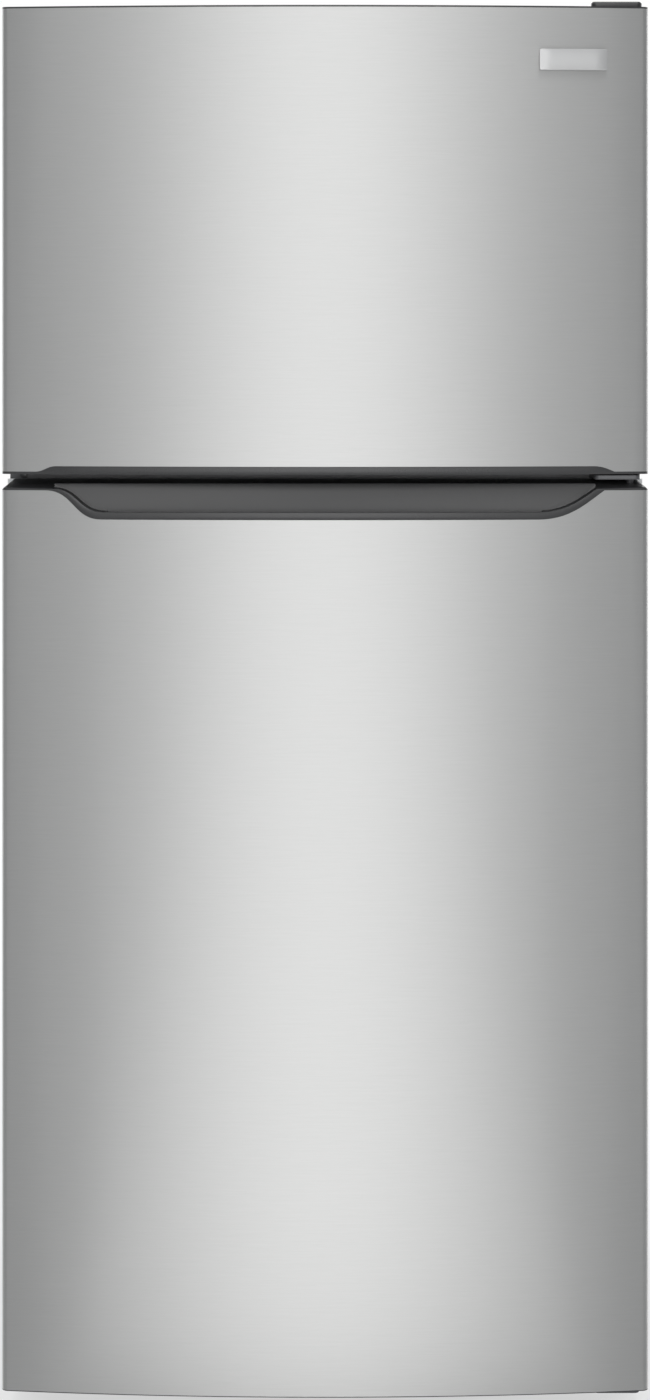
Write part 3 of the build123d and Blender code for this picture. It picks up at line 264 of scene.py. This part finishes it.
def dress(node, material, edge=0.0):
    """Gives a frame node its finish, edges eased by that width, and smooth shading between sharp edges."""
    piece = nodes[node]
    piece.data.materials.clear()
    piece.data.materials.append(material)
    piece.data.polygons.foreach_set("use_smooth", [True] * len(piece.data.polygons))
    weld = piece.modifiers.new("weld", "WELD")
    weld.merge_threshold = joined_within
    if edge:
        ease = piece.modifiers.new("ease", "BEVEL")
        ease.width, ease.segments, ease.limit_method = edge, 2, "ANGLE"
        ease.angle_limit = sharp_turn
    part = piece.modifiers.new("part", "EDGE_SPLIT")
    part.split_angle = sharp_turn


charcoal_coat = grained(
    "charcoal_coat", (0.047, 0.048, 0.052), 0.42, grain=520.0, cells=1.0, bump=0.45, depth=0.0004,
    Coat_Weight=0.15, Coat_Roughness=0.35,
)
dress("outer_case", charcoal_coat)
dress("mullion_rail", charcoal_coat)


# ---------------------------------------------------------------- back panel and base pan
# Galvanised sheet, spangled from the zinc bath, closes the back and carries the feet and the compressor.
# The panel is screwed on over the foam and the pan's flanges are folded down.
zinc, tree, shader = finish_named("galvanised_sheet", Metallic=1.0)
spangle = add(tree, "TexVoronoi", Vector=add(tree, "TexCoord").outputs["Object"], Scale=150.0, Randomness=1.0)
grey = add(tree, "ValToRGB", Fac=spangle.outputs["Color"])
for stop, zinc_tone in zip(grey.color_ramp.elements, ((0.44, 0.45, 0.46, 1.0), (0.54, 0.55, 0.56, 1.0))):
    stop.color = zinc_tone
made = place(
    tree, skin, Colour=grey.outputs["Color"], Mottle=0.1, Roughness=0.42, Spread=0.15, Grain=260.0
)
tree.links.new(made.outputs["Colour"], shader.inputs["Base Color"])
tree.links.new(made.outputs["Roughness"], shader.inputs["Roughness"])
relief = add(tree, "Bump", Strength=0.08, Distance=0.0002, Height=made.outputs["Height"])
tree.links.new(relief.outputs[0], shader.inputs["Normal"])
for node in ("back_panel", "base_pan", "compressor_base", "roller_brackets"):
    dress(node, zinc)


# ---------------------------------------------------------------- foam
# Polyurethane foamed in place between the case and the liners, and inside the doors, cream and finely
# pitted where it shows.
set_foam = grained(
    "set_foam", (0.80, 0.70, 0.46), 0.85, mottle=0.25, grain=700.0, cells=1.0, bump=0.5, depth=0.0008
)
for node in ("foam_insulation", "freezer_door_foam", "fridge_door_foam"):
    dress(node, set_foam)


# ---------------------------------------------------------------- liners
# White high-impact sheet drawn over a mould in one piece for each compartment and each door. The
# evaporator's cover, the control housing and the humidity slides are moulded in the same white.
liner_sheet = grained(
    "liner_sheet", (0.83, 0.85, 0.85), 0.30, mottle=0.01, spread=0.02, grain=340.0, bump=0.05, depth=0.0003
)
for node in (
    "freezer_liner",
    "fresh_food_liner",
    "freezer_door_liner",
    "fridge_door_liner",
    "evaporator_cover",
    "control_housing",
    "humidity_slide_left",
    "humidity_slide_right",
):
    dress(node, liner_sheet)


# ---------------------------------------------------------------- door skins
# Bowed stainless sheets, brushed along their width and folded round the sides. The brushing is fine and
# even, and spreads reflections up and down but not across.
brushed, taken, given = new_group(
    "Brushed Lines",
    (("Colour", "Color", (0.6, 0.6, 0.6, 1.0)), ("Contrast", "Float", 0.1), ("Roughness", "Float", 0.3)),
    (("Colour", "Color"), ("Roughness", "Float"), ("Height", "Float")),
)
long_stroke = (14.0, 14.0, 900.0)
short_stroke = (40.0, 40.0, 1600.0)
spot = add(brushed, "TexCoord").outputs["Object"]
long_space = add(brushed, "VectorMath", {"operation": "MULTIPLY"}, i0=spot, i1=long_stroke).outputs[0]
streak = add(brushed, "TexNoise", Vector=long_space, Scale=1.0, Detail=4.0, Roughness=0.65).outputs["Fac"]
short_space = add(brushed, "VectorMath", {"operation": "MULTIPLY"}, i0=spot, i1=short_stroke).outputs[0]
drag = add(brushed, "TexNoise", Vector=short_space, Scale=1.0, Detail=2.0).outputs["Fac"]
pair = add(brushed, "Math", {"operation": "ADD"}, i0=streak, i1=drag).outputs[0]
centred = add(brushed, "Math", {"operation": "SUBTRACT"}, i0=pair, i1=1.0).outputs[0]
swing = add(
    brushed, "Math", {"operation": "MULTIPLY_ADD"}, i0=centred, i1=taken.outputs["Contrast"], i2=1.0
).outputs[0]
tone = add(brushed, "VectorMath", {"operation": "SCALE"}, i0=taken.outputs["Colour"], Scale=swing).outputs[0]
rough = add(
    brushed, "Math", {"operation": "MULTIPLY_ADD"}, i0=centred, i1=0.05, i2=taken.outputs["Roughness"]
).outputs[0]
brushed.links.new(tone, given.inputs["Colour"])
brushed.links.new(rough, given.inputs["Roughness"])
brushed.links.new(streak, given.inputs["Height"])

door_steel, tree, shader = finish_named(
    "door_steel", Metallic=1.0, Anisotropic=0.95, Anisotropic_Rotation=0.25
)
made = place(tree, brushed, Colour=(0.46, 0.46, 0.455, 1.0), Contrast=0.10, Roughness=0.5)
tree.links.new(made.outputs["Colour"], shader.inputs["Base Color"])
tree.links.new(made.outputs["Roughness"], shader.inputs["Roughness"])
relief = add(tree, "Bump", Strength=0.03, Distance=0.00001, Height=made.outputs["Height"])
tree.links.new(relief.outputs[0], shader.inputs["Normal"])
for node in ("freezer_door_skin", "fridge_door_skin"):
    dress(node, door_steel)


# ---------------------------------------------------------------- door caps
# Charcoal mouldings close the door ends. The two that face each other are the handles: a scooped lip with
# a finger pocket behind it. Fine spark-eroded grain, satin.
cap_plastic = grained(
    "cap_plastic", (0.034, 0.034, 0.035), 0.28, mottle=0.1, spread=0.04, grain=1500.0, bump=0.1, depth=0.0001,
    Specular_IOR_Level=0.3,
)
for node, eased in (
    ("freezer_door_top_cap", 0.0006),
    ("freezer_door_handle_cap", 0.0012),
    ("fridge_door_handle_cap", 0.0012),
    ("fridge_door_bottom_cap", 0.0006),
    ("hinge_cover", 0.0012),
    ("hinge_hole_plugs", 0.0004),
    ("toe_grille", 0.0006),
):
    dress(node, cap_plastic, edge=eased)


# A round push-in plug closes the spare pin hole at the left of the lower door's top.
plug_x = -0.357
plug_y = -0.351
plug_drop = 0.0085
plug_lean = (0.0, -0.3, 1.0)
plug_section = ((4.2, 0.0), (4.2, 1.4), (3.6, 1.9), (2.4, 1.9), (2.1, 1.2), (0.9, 1.1))
slot_half_share = 0.28  # half a screwdriver slot's width, as a share of the recess's radius
lathe_sharp_turn = math.radians(35)


def new_piece(name, data, material, body):
    """A finished mesh or curve made into a named piece that rides on a body."""
    piece = bpy.data.objects.new(name, data)
    bpy.context.scene.collection.objects.link(piece)
    data.materials.append(material)
    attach(piece, body)
    return piece


def from_bmesh(name, shape, smooth=False):
    """A mesh from a bmesh, with outward faces."""
    bmesh.ops.recalc_face_normals(shape, faces=shape.faces)
    mesh = bpy.data.meshes.new(name)
    shape.to_mesh(mesh)
    shape.free()
    if smooth:
        mesh.polygons.foreach_set("use_smooth", [True] * len(mesh.polygons))
    return mesh


def skin_loops(shape, loops):
    """Joins each loop of vertices to the next one with a band of faces."""
    for here, there in zip(loops, loops[1:]):
        for i in range(len(here)):
            j = (i + 1) % len(here)
            shape.faces.new((here[i], here[j], there[j], there[i]))


def turned(name, profile, material, body, stand, axis, steps=32, cross=0):
    """A lathe-turned piece: (radius, height) pairs in mm along an axis; the last cross loops form a cross."""
    aim = Vector(axis).to_track_quat("Z", "Y").to_matrix()
    shape = bmesh.new()
    loops = []
    for n, (radius, rise) in enumerate(profile):
        loop = []
        for i in range(steps):
            a = 2 * math.pi * i / steps
            across, up = math.cos(a), math.sin(a)
            r = radius
            if n >= len(profile) - cross:
                r = radius * min(1.0, slot_half_share / max(min(abs(across), abs(up)), 0.01))
            loop.append(shape.verts.new(Vector(stand) + aim @ Vector((r * across, r * up, rise)) / 1000))
        loops.append(loop)
    skin_loops(shape, loops)
    shape.faces.new(loops[0])
    shape.faces.new(loops[-1])
    piece = new_piece(name, from_bmesh(name, shape, smooth=True), material, body)
    part = piece.modifiers.new("part", "EDGE_SPLIT")
    part.split_angle = lathe_sharp_turn


cap_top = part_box("fridge_door_handle_cap")[1].z
turned(
    "spare_hole_plug", plug_section, cap_plastic, "fridge_door", (plug_x, plug_y, cap_top - plug_drop),
    plug_lean,
)


# ---------------------------------------------------------------- hinges and screws
# Pressed steel leaves with riveted pins, painted satin black, held by zinc-plated screws.
hinge_paint = grained("hinge_paint", (0.085, 0.086, 0.09), 0.4, mottle=0.1, Metallic=0.35)
bright_zinc = grained("bright_zinc", (0.55, 0.56, 0.58), 0.3, mottle=0.1, Metallic=1.0)
for node in ("top_hinge", "middle_hinge", "bottom_hinge"):
    dress(node, hinge_paint, edge=0.0003)
dress("hinge_screws", bright_zinc, edge=0.0002)

# Cross-head screws up both edges of the back panel and along its top.
screw_section = ((3.6, 0.0), (3.6, 0.5), (3.1, 1.3), (2.2, 1.8), (1.9, 1.9), (1.6, 0.8))
panel_low, panel_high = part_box("back_panel")
screw_inset = 0.009
lowest_screw = 0.30
screw_rise = 0.27
screw_spacing = 0.16
top_row = panel_high.z - screw_inset
screw_places = []
for z in [lowest_screw + screw_rise * n for n in range(5)] + [top_row]:
    screw_places += [(panel_low.x + screw_inset, z), (panel_high.x - screw_inset, z)]
screw_places += [(screw_spacing * n, top_row) for n in (-1.5, -0.5, 0.5, 1.5)]
for number, (x, z) in enumerate(screw_places, 1):
    turned(
        f"back_screw_{number:02d}", screw_section, bright_zinc, "cabinet", (x, panel_high.y, z), (0, 1, 0),
        steps=24, cross=2,
    )


# ---------------------------------------------------------------- door seals
# Grey magnetic seals, extruded soft PVC with welded corners, round the edges of the door liners.
seal_vinyl = grained("seal_vinyl", (0.20, 0.20, 0.21), 0.55, mottle=0.1, grain=1200.0)
# Section of the extrusion: millimetres in from the outer edge, and back from the liner. The outer side runs
# from the foot on the liner, up the bellows and round the magnet pocket. The inner side mirrors it.
seal_width = 16.0
seal_foot = ((3.5, 0.0), (3.5, 1.5), (0.9, 2.1))
seal_bellows = ((3.0, 3.5), (1.0, 4.9), (0.2, 5.6))
seal_pocket = ((0.0, 6.6), (0.0, 10.7), (0.9, 11.6))
seal_side = seal_foot + seal_bellows + seal_pocket
seal_face = ((5.0, 11.7), (6.0, 11.3), (7.0, 11.7))
seal_section = seal_side + seal_face + tuple((seal_width - u, back) for u, back in reversed(seal_side))
seal_corner = 0.0003

for door in ("freezer_door", "fridge_door"):
    low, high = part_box(door + "_gasket")
    shape = bmesh.new()
    loops = []
    for inward, back in seal_section:
        left, right = low.x + inward / 1000, high.x - inward / 1000
        bottom, top = low.z + inward / 1000, high.z - inward / 1000
        corners = ((left, bottom), (right, bottom), (right, top), (left, top))
        loops.append([shape.verts.new((x, low.y + back / 1000, z)) for x, z in corners])
    skin_loops(shape, loops + loops[:1])
    seal = new_piece(door + "_seal", from_bmesh(door + "_seal", shape), seal_vinyl, door)
    ease = seal.modifiers.new("ease", "BEVEL")
    ease.width, ease.segments, ease.limit_method = seal_corner, 2, "ANGLE"
    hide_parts(door + "_gasket")


# ---------------------------------------------------------------- badge
# A small plate of satin silver with eased edges, left blank, stuck on the freezer door near its upper
# right corner.
badge_silver = grained("badge_silver", (0.43, 0.43, 0.43), 0.50, mottle=0.02, spread=0.03, Metallic=0.9)
dress("badge_plate", badge_silver, edge=0.0004)


# ---------------------------------------------------------------- bins and crispers
# Clear moulded polystyrene, slightly blue, with a faint ripple from the mould, for the bins and racks on
# the doors, the dairy compartment and the two crispers.
clear_styrene = grained(
    "clear_styrene", (0.86, 0.92, 0.95), 0.08, mottle=0.02, spread=0.05, grain=60.0, bump=0.03, depth=0.0004,
    Transmission_Weight=0.92, IOR=1.15,
)
for node in (
    "upper_door_bin",
    "lower_door_bin",
    "freezer_door_racks",
    "crisper_left",
    "crisper_right",
    "dairy_compartment",
    "dairy_lid",
):
    dress(node, clear_styrene)


# ---------------------------------------------------------------- shelves
# Toughened glass in white moulded frames that sit on the liner's side rails, and a white coated wire
# shelf in the freezer.
shelf_pane = grained(
    "shelf_pane", (0.80, 0.93, 0.90), 0.03, mottle=0.01, spread=0.02, grain=20.0, bump=0.01, depth=0.0002,
    Transmission_Weight=0.95, IOR=1.2,
)
dress("shelf_glass", shelf_pane)
dress("shelf_frames", liner_sheet)
coated_wire = grained("coated_wire", (0.82, 0.84, 0.84), 0.3, mottle=0.04)
dress("freezer_shelf", coated_wire)


# ---------------------------------------------------------------- controls and light
# White housing under the roof of the fresh-food space, with a frosted lens for its lamp. White moulded
# dials turn on shafts that pass through the housing and through the evaporator's cover.
frosted_lens = grained(
    "frosted_lens", (0.92, 0.92, 0.88), 0.45, mottle=0.03, grain=300.0, bump=0.1, depth=0.0003,
    Transmission_Weight=0.5, IOR=1.2,
)
dress("light_lens", frosted_lens)
dial_plastic = grained("dial_plastic", (0.80, 0.81, 0.82), 0.3, mottle=0.02)
dress("temperature_dial", dial_plastic, edge=0.0003)
dress("freezer_dial", dial_plastic, edge=0.0003)
dress("light_switch", dial_plastic)

# Graduations beside each dial, from short to long the colder the setting, and a pointer line on the grip.
mark_ink = grained("mark_ink", (0.10, 0.13, 0.17), 0.5, mottle=0.1)
mark_count = 7
first_mark, mark_turn = math.radians(-120), math.radians(40)
shortest_mark, mark_growth = 0.0016, 0.0005
mark_width, mark_height = 0.0012, 0.0003
pointer_length, pointer_width, pointer_height = 0.012, 0.0014, 0.0004
pointer_drop = 0.010
mark_bevel = 0.3  # as a share of the mark's height
proud = 0.0001  # middle of a mark in front of the face that it is printed on


def bars(name, marks, body):
    """Thin printed bars as one piece: (centre, length along, width, height towards -Y, angle about Y)."""
    shape = bmesh.new()
    for centre, length, width, height, angle in marks:
        spin = Matrix.Translation(centre) @ Matrix.Rotation(angle, 4, "Y")
        made = bmesh.ops.create_cube(
            shape, size=1.0, matrix=spin @ Matrix.Diagonal((width, height, length, 1.0))
        )
        edges = list({edge for corner in made["verts"] for edge in corner.link_edges})
        bmesh.ops.bevel(shape, geom=edges, offset=height * mark_bevel, segments=1, affect="EDGES")
    new_piece(name, from_bmesh(name, shape), mark_ink, body)


for dial, housing, scale_radius in (
    ("temperature_dial", "control_housing", 0.0245),
    ("freezer_dial", "evaporator_cover", 0.0225),
):
    low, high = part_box(dial)
    middle = (low.z + high.z) / 2
    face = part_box(housing)[0].y
    marks = []
    for step in range(mark_count):
        angle = first_mark + mark_turn * step
        length = shortest_mark + mark_growth * step
        out = scale_radius + length / 2
        centre = Vector((out * math.sin(angle), face - proud, middle + out * math.cos(angle)))
        marks.append((centre, length, mark_width, mark_height, angle))
    bars(dial + "_scale", marks, "cabinet")
    tip = Vector((0.0, low.y - proud, high.z - pointer_drop))
    bars(dial + "_pointer", [(tip, pointer_length, pointer_width, pointer_height, 0.0)], dial + "_body")


# ---------------------------------------------------------------- cold side
# Plate-fin evaporator of aluminium at the freezer's back wall, and a small black plastic fan on the shaft
# of its motor.
fin_metal = grained("fin_metal", (0.62, 0.63, 0.64), 0.35, mottle=0.1, Metallic=1.0)
dress("evaporator", fin_metal)
fan_plastic = grained("fan_plastic", (0.03, 0.03, 0.032), 0.4, mottle=0.1)
dress("evaporator_fan", fan_plastic)
dress("fan_motor", fan_plastic)


# ---------------------------------------------------------------- warm side
# Black-painted compressor on rubber feet, its relay cover, the copper lines, the pan that catches the
# defrost water, and the wire-and-tube condenser that stands off the back panel.
black_enamel = grained("black_enamel", (0.018, 0.018, 0.019), 0.3, mottle=0.2, grain=400.0, bump=0.1)
dress("compressor", black_enamel)

# The condenser is one steel tube bent into runs, with straight wires spot-welded across both its faces,
# and it hangs on four folded clips.
coil_low, coil_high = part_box("condenser")
tube_radius = 0.0024
wire_radius = 0.0008
weld_reach = tube_radius + 0.7 * wire_radius  # tube's middle to a wire's, sunk a little by the weld
outer_wires, inner_wires = 33, 32
wire_spacing = 0.0165
wire_end = 0.012  # wire beyond the last run
run_pitch = 0.084
bend_steps = 12
coil_inset = 0.008
coil_y = coil_high.y - coil_inset
run_low, run_high = coil_low.z + wire_end, coil_high.z - wire_end
bend = run_pitch / 2
coil_reach = coil_high.x - tube_radius - bend
run_count = round((run_high - run_low) / run_pitch) + 1


def tube_curve(name, radius, resolution=12):
    """An empty round tube with closed ends, for splines to be added to."""
    curve = bpy.data.curves.new(name, "CURVE")
    curve.dimensions = "3D"
    curve.bevel_depth, curve.bevel_resolution, curve.resolution_u = radius, 4, resolution
    curve.use_fill_caps = True
    return curve


def add_run(curve, kind, through, share=1.0):
    """A run of tube through those points, at that share of the curve's radius."""
    run = curve.splines.new(kind)
    run.points.add(len(through) - 1)
    for point, where in zip(run.points, through):
        point.co = (*where, 1.0)
        point.radius = share
    return run


coil_curve = tube_curve("condenser_coil", tube_radius)
route = []
for number in range(run_count):
    side = 1 if number % 2 == 0 else -1
    z = run_low + number * run_pitch
    route.append((-side * coil_reach, coil_y, z))
    route.append((side * coil_reach, coil_y, z))
    if number < run_count - 1:
        for step in range(1, bend_steps):
            a = math.pi * step / bend_steps
            route.append((side * (coil_reach + bend * math.sin(a)), coil_y, z + bend * (1 - math.cos(a))))
add_run(coil_curve, "POLY", route)
for offset, count in ((weld_reach, outer_wires), (-weld_reach, inner_wires)):
    for number in range(count):
        x, y = (number - (count - 1) / 2) * wire_spacing, coil_y + offset
        ends = ((x, y, run_low - wire_end), (x, y, run_high + wire_end))
        add_run(coil_curve, "POLY", ends, share=wire_radius / tube_radius)
coil = new_piece("condenser_coil", coil_curve, black_enamel, "cabinet")
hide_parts("condenser")

# Each clip is a strip folded into a hat: two ears on the panel, and a bridge over the tube. Its section is
# in millimetres from the tube's level and from the panel's face.
clip_sheet = 0.8
clip_ear, clip_foot, clip_shoulder = 14.0, 6.0, 4.5
clip_rise = 12.4
clip_taper = 0.6
clip_half = ((clip_ear, 0), (clip_foot, 0), (clip_shoulder, clip_rise))
clip_under = (
    (clip_ear, -clip_sheet),
    (clip_foot - clip_sheet, -clip_sheet),
    (clip_shoulder - clip_taper, clip_rise - clip_sheet),
)
clip_section = (
    [(-u, v) for u, v in clip_half]
    + [(u, v) for u, v in reversed(clip_half)]
    + list(clip_under)
    + [(-u, v) for u, v in reversed(clip_under)]
)
clip_half_width = 0.008
clip_x = 0.2265
clip_face = panel_high.y + clip_sheet / 1000
clip_places = [(x, z) for z in (run_low, run_high) for x in (-clip_x, clip_x)]
for number, (x, z) in enumerate(clip_places, 1):
    shape = bmesh.new()
    ends = []
    for edge_x in (x - clip_half_width, x + clip_half_width):
        outline = [(edge_x, clip_face + v / 1000, z + u / 1000) for u, v in clip_section]
        ends.append([shape.verts.new(corner) for corner in outline])
    shape.faces.new(ends[0])
    shape.faces.new(ends[1])
    skin_loops(shape, ends)
    bmesh.ops.triangulate(shape, faces=[face for face in shape.faces if len(face.verts) > 4])
    name = f"coil_clip_{number}"
    new_piece(name, from_bmesh(name, shape), bright_zinc, "cabinet")

rubber_foot = grained("rubber_foot", (0.03, 0.03, 0.03), 0.7, mottle=0.2)
dress("compressor_mounts", rubber_foot)
relay_plastic = grained("relay_plastic", (0.025, 0.025, 0.027), 0.45, mottle=0.1)
dress("start_relay_cover", relay_plastic, edge=0.0004)
dress("drain_pan", relay_plastic)
drawn_copper = grained("drawn_copper", (0.72, 0.33, 0.18), 0.3, mottle=0.35, grain=120.0, Metallic=1.0)
dress("refrigerant_lines", drawn_copper)


# Lines that join the circuit up: from the compressor to the coil's top, from its foot to the drier, the
# capillary wound beside the drier, and the suction line from the compressor into the foam. Their bends are
# in millimetres.
line_radius = 0.0024
capillary_radius = 0.0011
suction_radius = 0.0038


def bent_tube(name, through, radius):
    """A rigid copper tube bent through those points, in millimetres, fixed to the cabinet."""
    curve = tube_curve(name, radius, resolution=10)
    run = add_run(curve, "NURBS", [Vector(where) / 1000 for where in through])
    run.order_u = 3
    run.use_endpoint_u = True
    new_piece(name, curve, drawn_copper, "cabinet")


shell_low, shell_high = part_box("compressor")
shell_x = (shell_low.x + shell_high.x) * 500
lines_low, lines_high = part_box("refrigerant_lines")
side_x, deep = coil_reach * 1000, coil_y * 1000
foot_z, head_z = run_low * 1000, run_high * 1000
rise_z = lines_high.z * 1000 - 3.0
riser_x, riser_y = 346, 375
bent_tube(
    "discharge_riser",
    (
        (150, 330, rise_z),
        (150, 372, rise_z),
        (150, 374, rise_z + 60),
        (200, riser_y, rise_z + 76),
        (335, riser_y, rise_z + 80),
        (riser_x, riser_y, rise_z + 84),
        (riser_x, riser_y, rise_z + 160),
        (riser_x, riser_y, head_z - 40),
        (riser_x, deep, head_z),
        (side_x - 4, deep, head_z),
    ),
    line_radius,
)
drier_y, drier_z = 227.0, lines_low.z * 1000 + 9.0
bend_x, drop_x = -side_x - 44, 48
bent_tube(
    "liquid_line",
    (
        (-side_x + 4, deep, foot_z),
        (bend_x, deep, foot_z),
        (bend_x, deep - 2, foot_z - 34),
        (-side_x, 372, foot_z - 34),
        (0, 372, foot_z - 34),
        (40, 370, foot_z - 36),
        (drop_x, 360, drier_z + 100),
        (drop_x, 300, drier_z + 20),
        (drop_x, drier_y, drier_z),
        (72, drier_y, drier_z),
    ),
    line_radius,
)
turn_x, turn_radius = 292, 24
steps_per_turn, turn_count = 12, 3
wound_step = 0.9
wound = [(266, drier_y, drier_z), (276, drier_y, drier_z)]
for step in range(steps_per_turn * turn_count + 1):
    a = 2 * math.pi * step / steps_per_turn
    across, up = turn_radius * math.sin(a), turn_radius * (1 - math.cos(a))
    wound.append((turn_x + across, drier_y + step * wound_step, drier_z + up))
wound += [(300, drier_y + 30, drier_z + 2), (318, drier_y - 20, drier_z + 60), (318, 188, drier_z + 62)]
bent_tube("capillary_tube", wound, capillary_radius)
bent_tube(
    "suction_line",
    (
        (shell_x - 60, 240, 150),
        (shell_x - 84, 226, 152),
        (shell_x - 96, 220, 156),
        (shell_x - 98, 218, 190),
        (shell_x - 100, 210, 214),
        (shell_x - 100, 188, 214),
    ),
    suction_radius,
)


# ---------------------------------------------------------------- feet
# Nylon rear rollers on axles in the steel brackets, and zinc-plated levelling legs screwed into the base
# pan at the front.
roller_nylon = grained("roller_nylon", (0.10, 0.10, 0.10), 0.5, mottle=0.1)
dress("rear_roller_left", roller_nylon)
dress("rear_roller_right", roller_nylon)
dress("levelling_leg_left", bright_zinc)
dress("levelling_leg_right", bright_zinc)
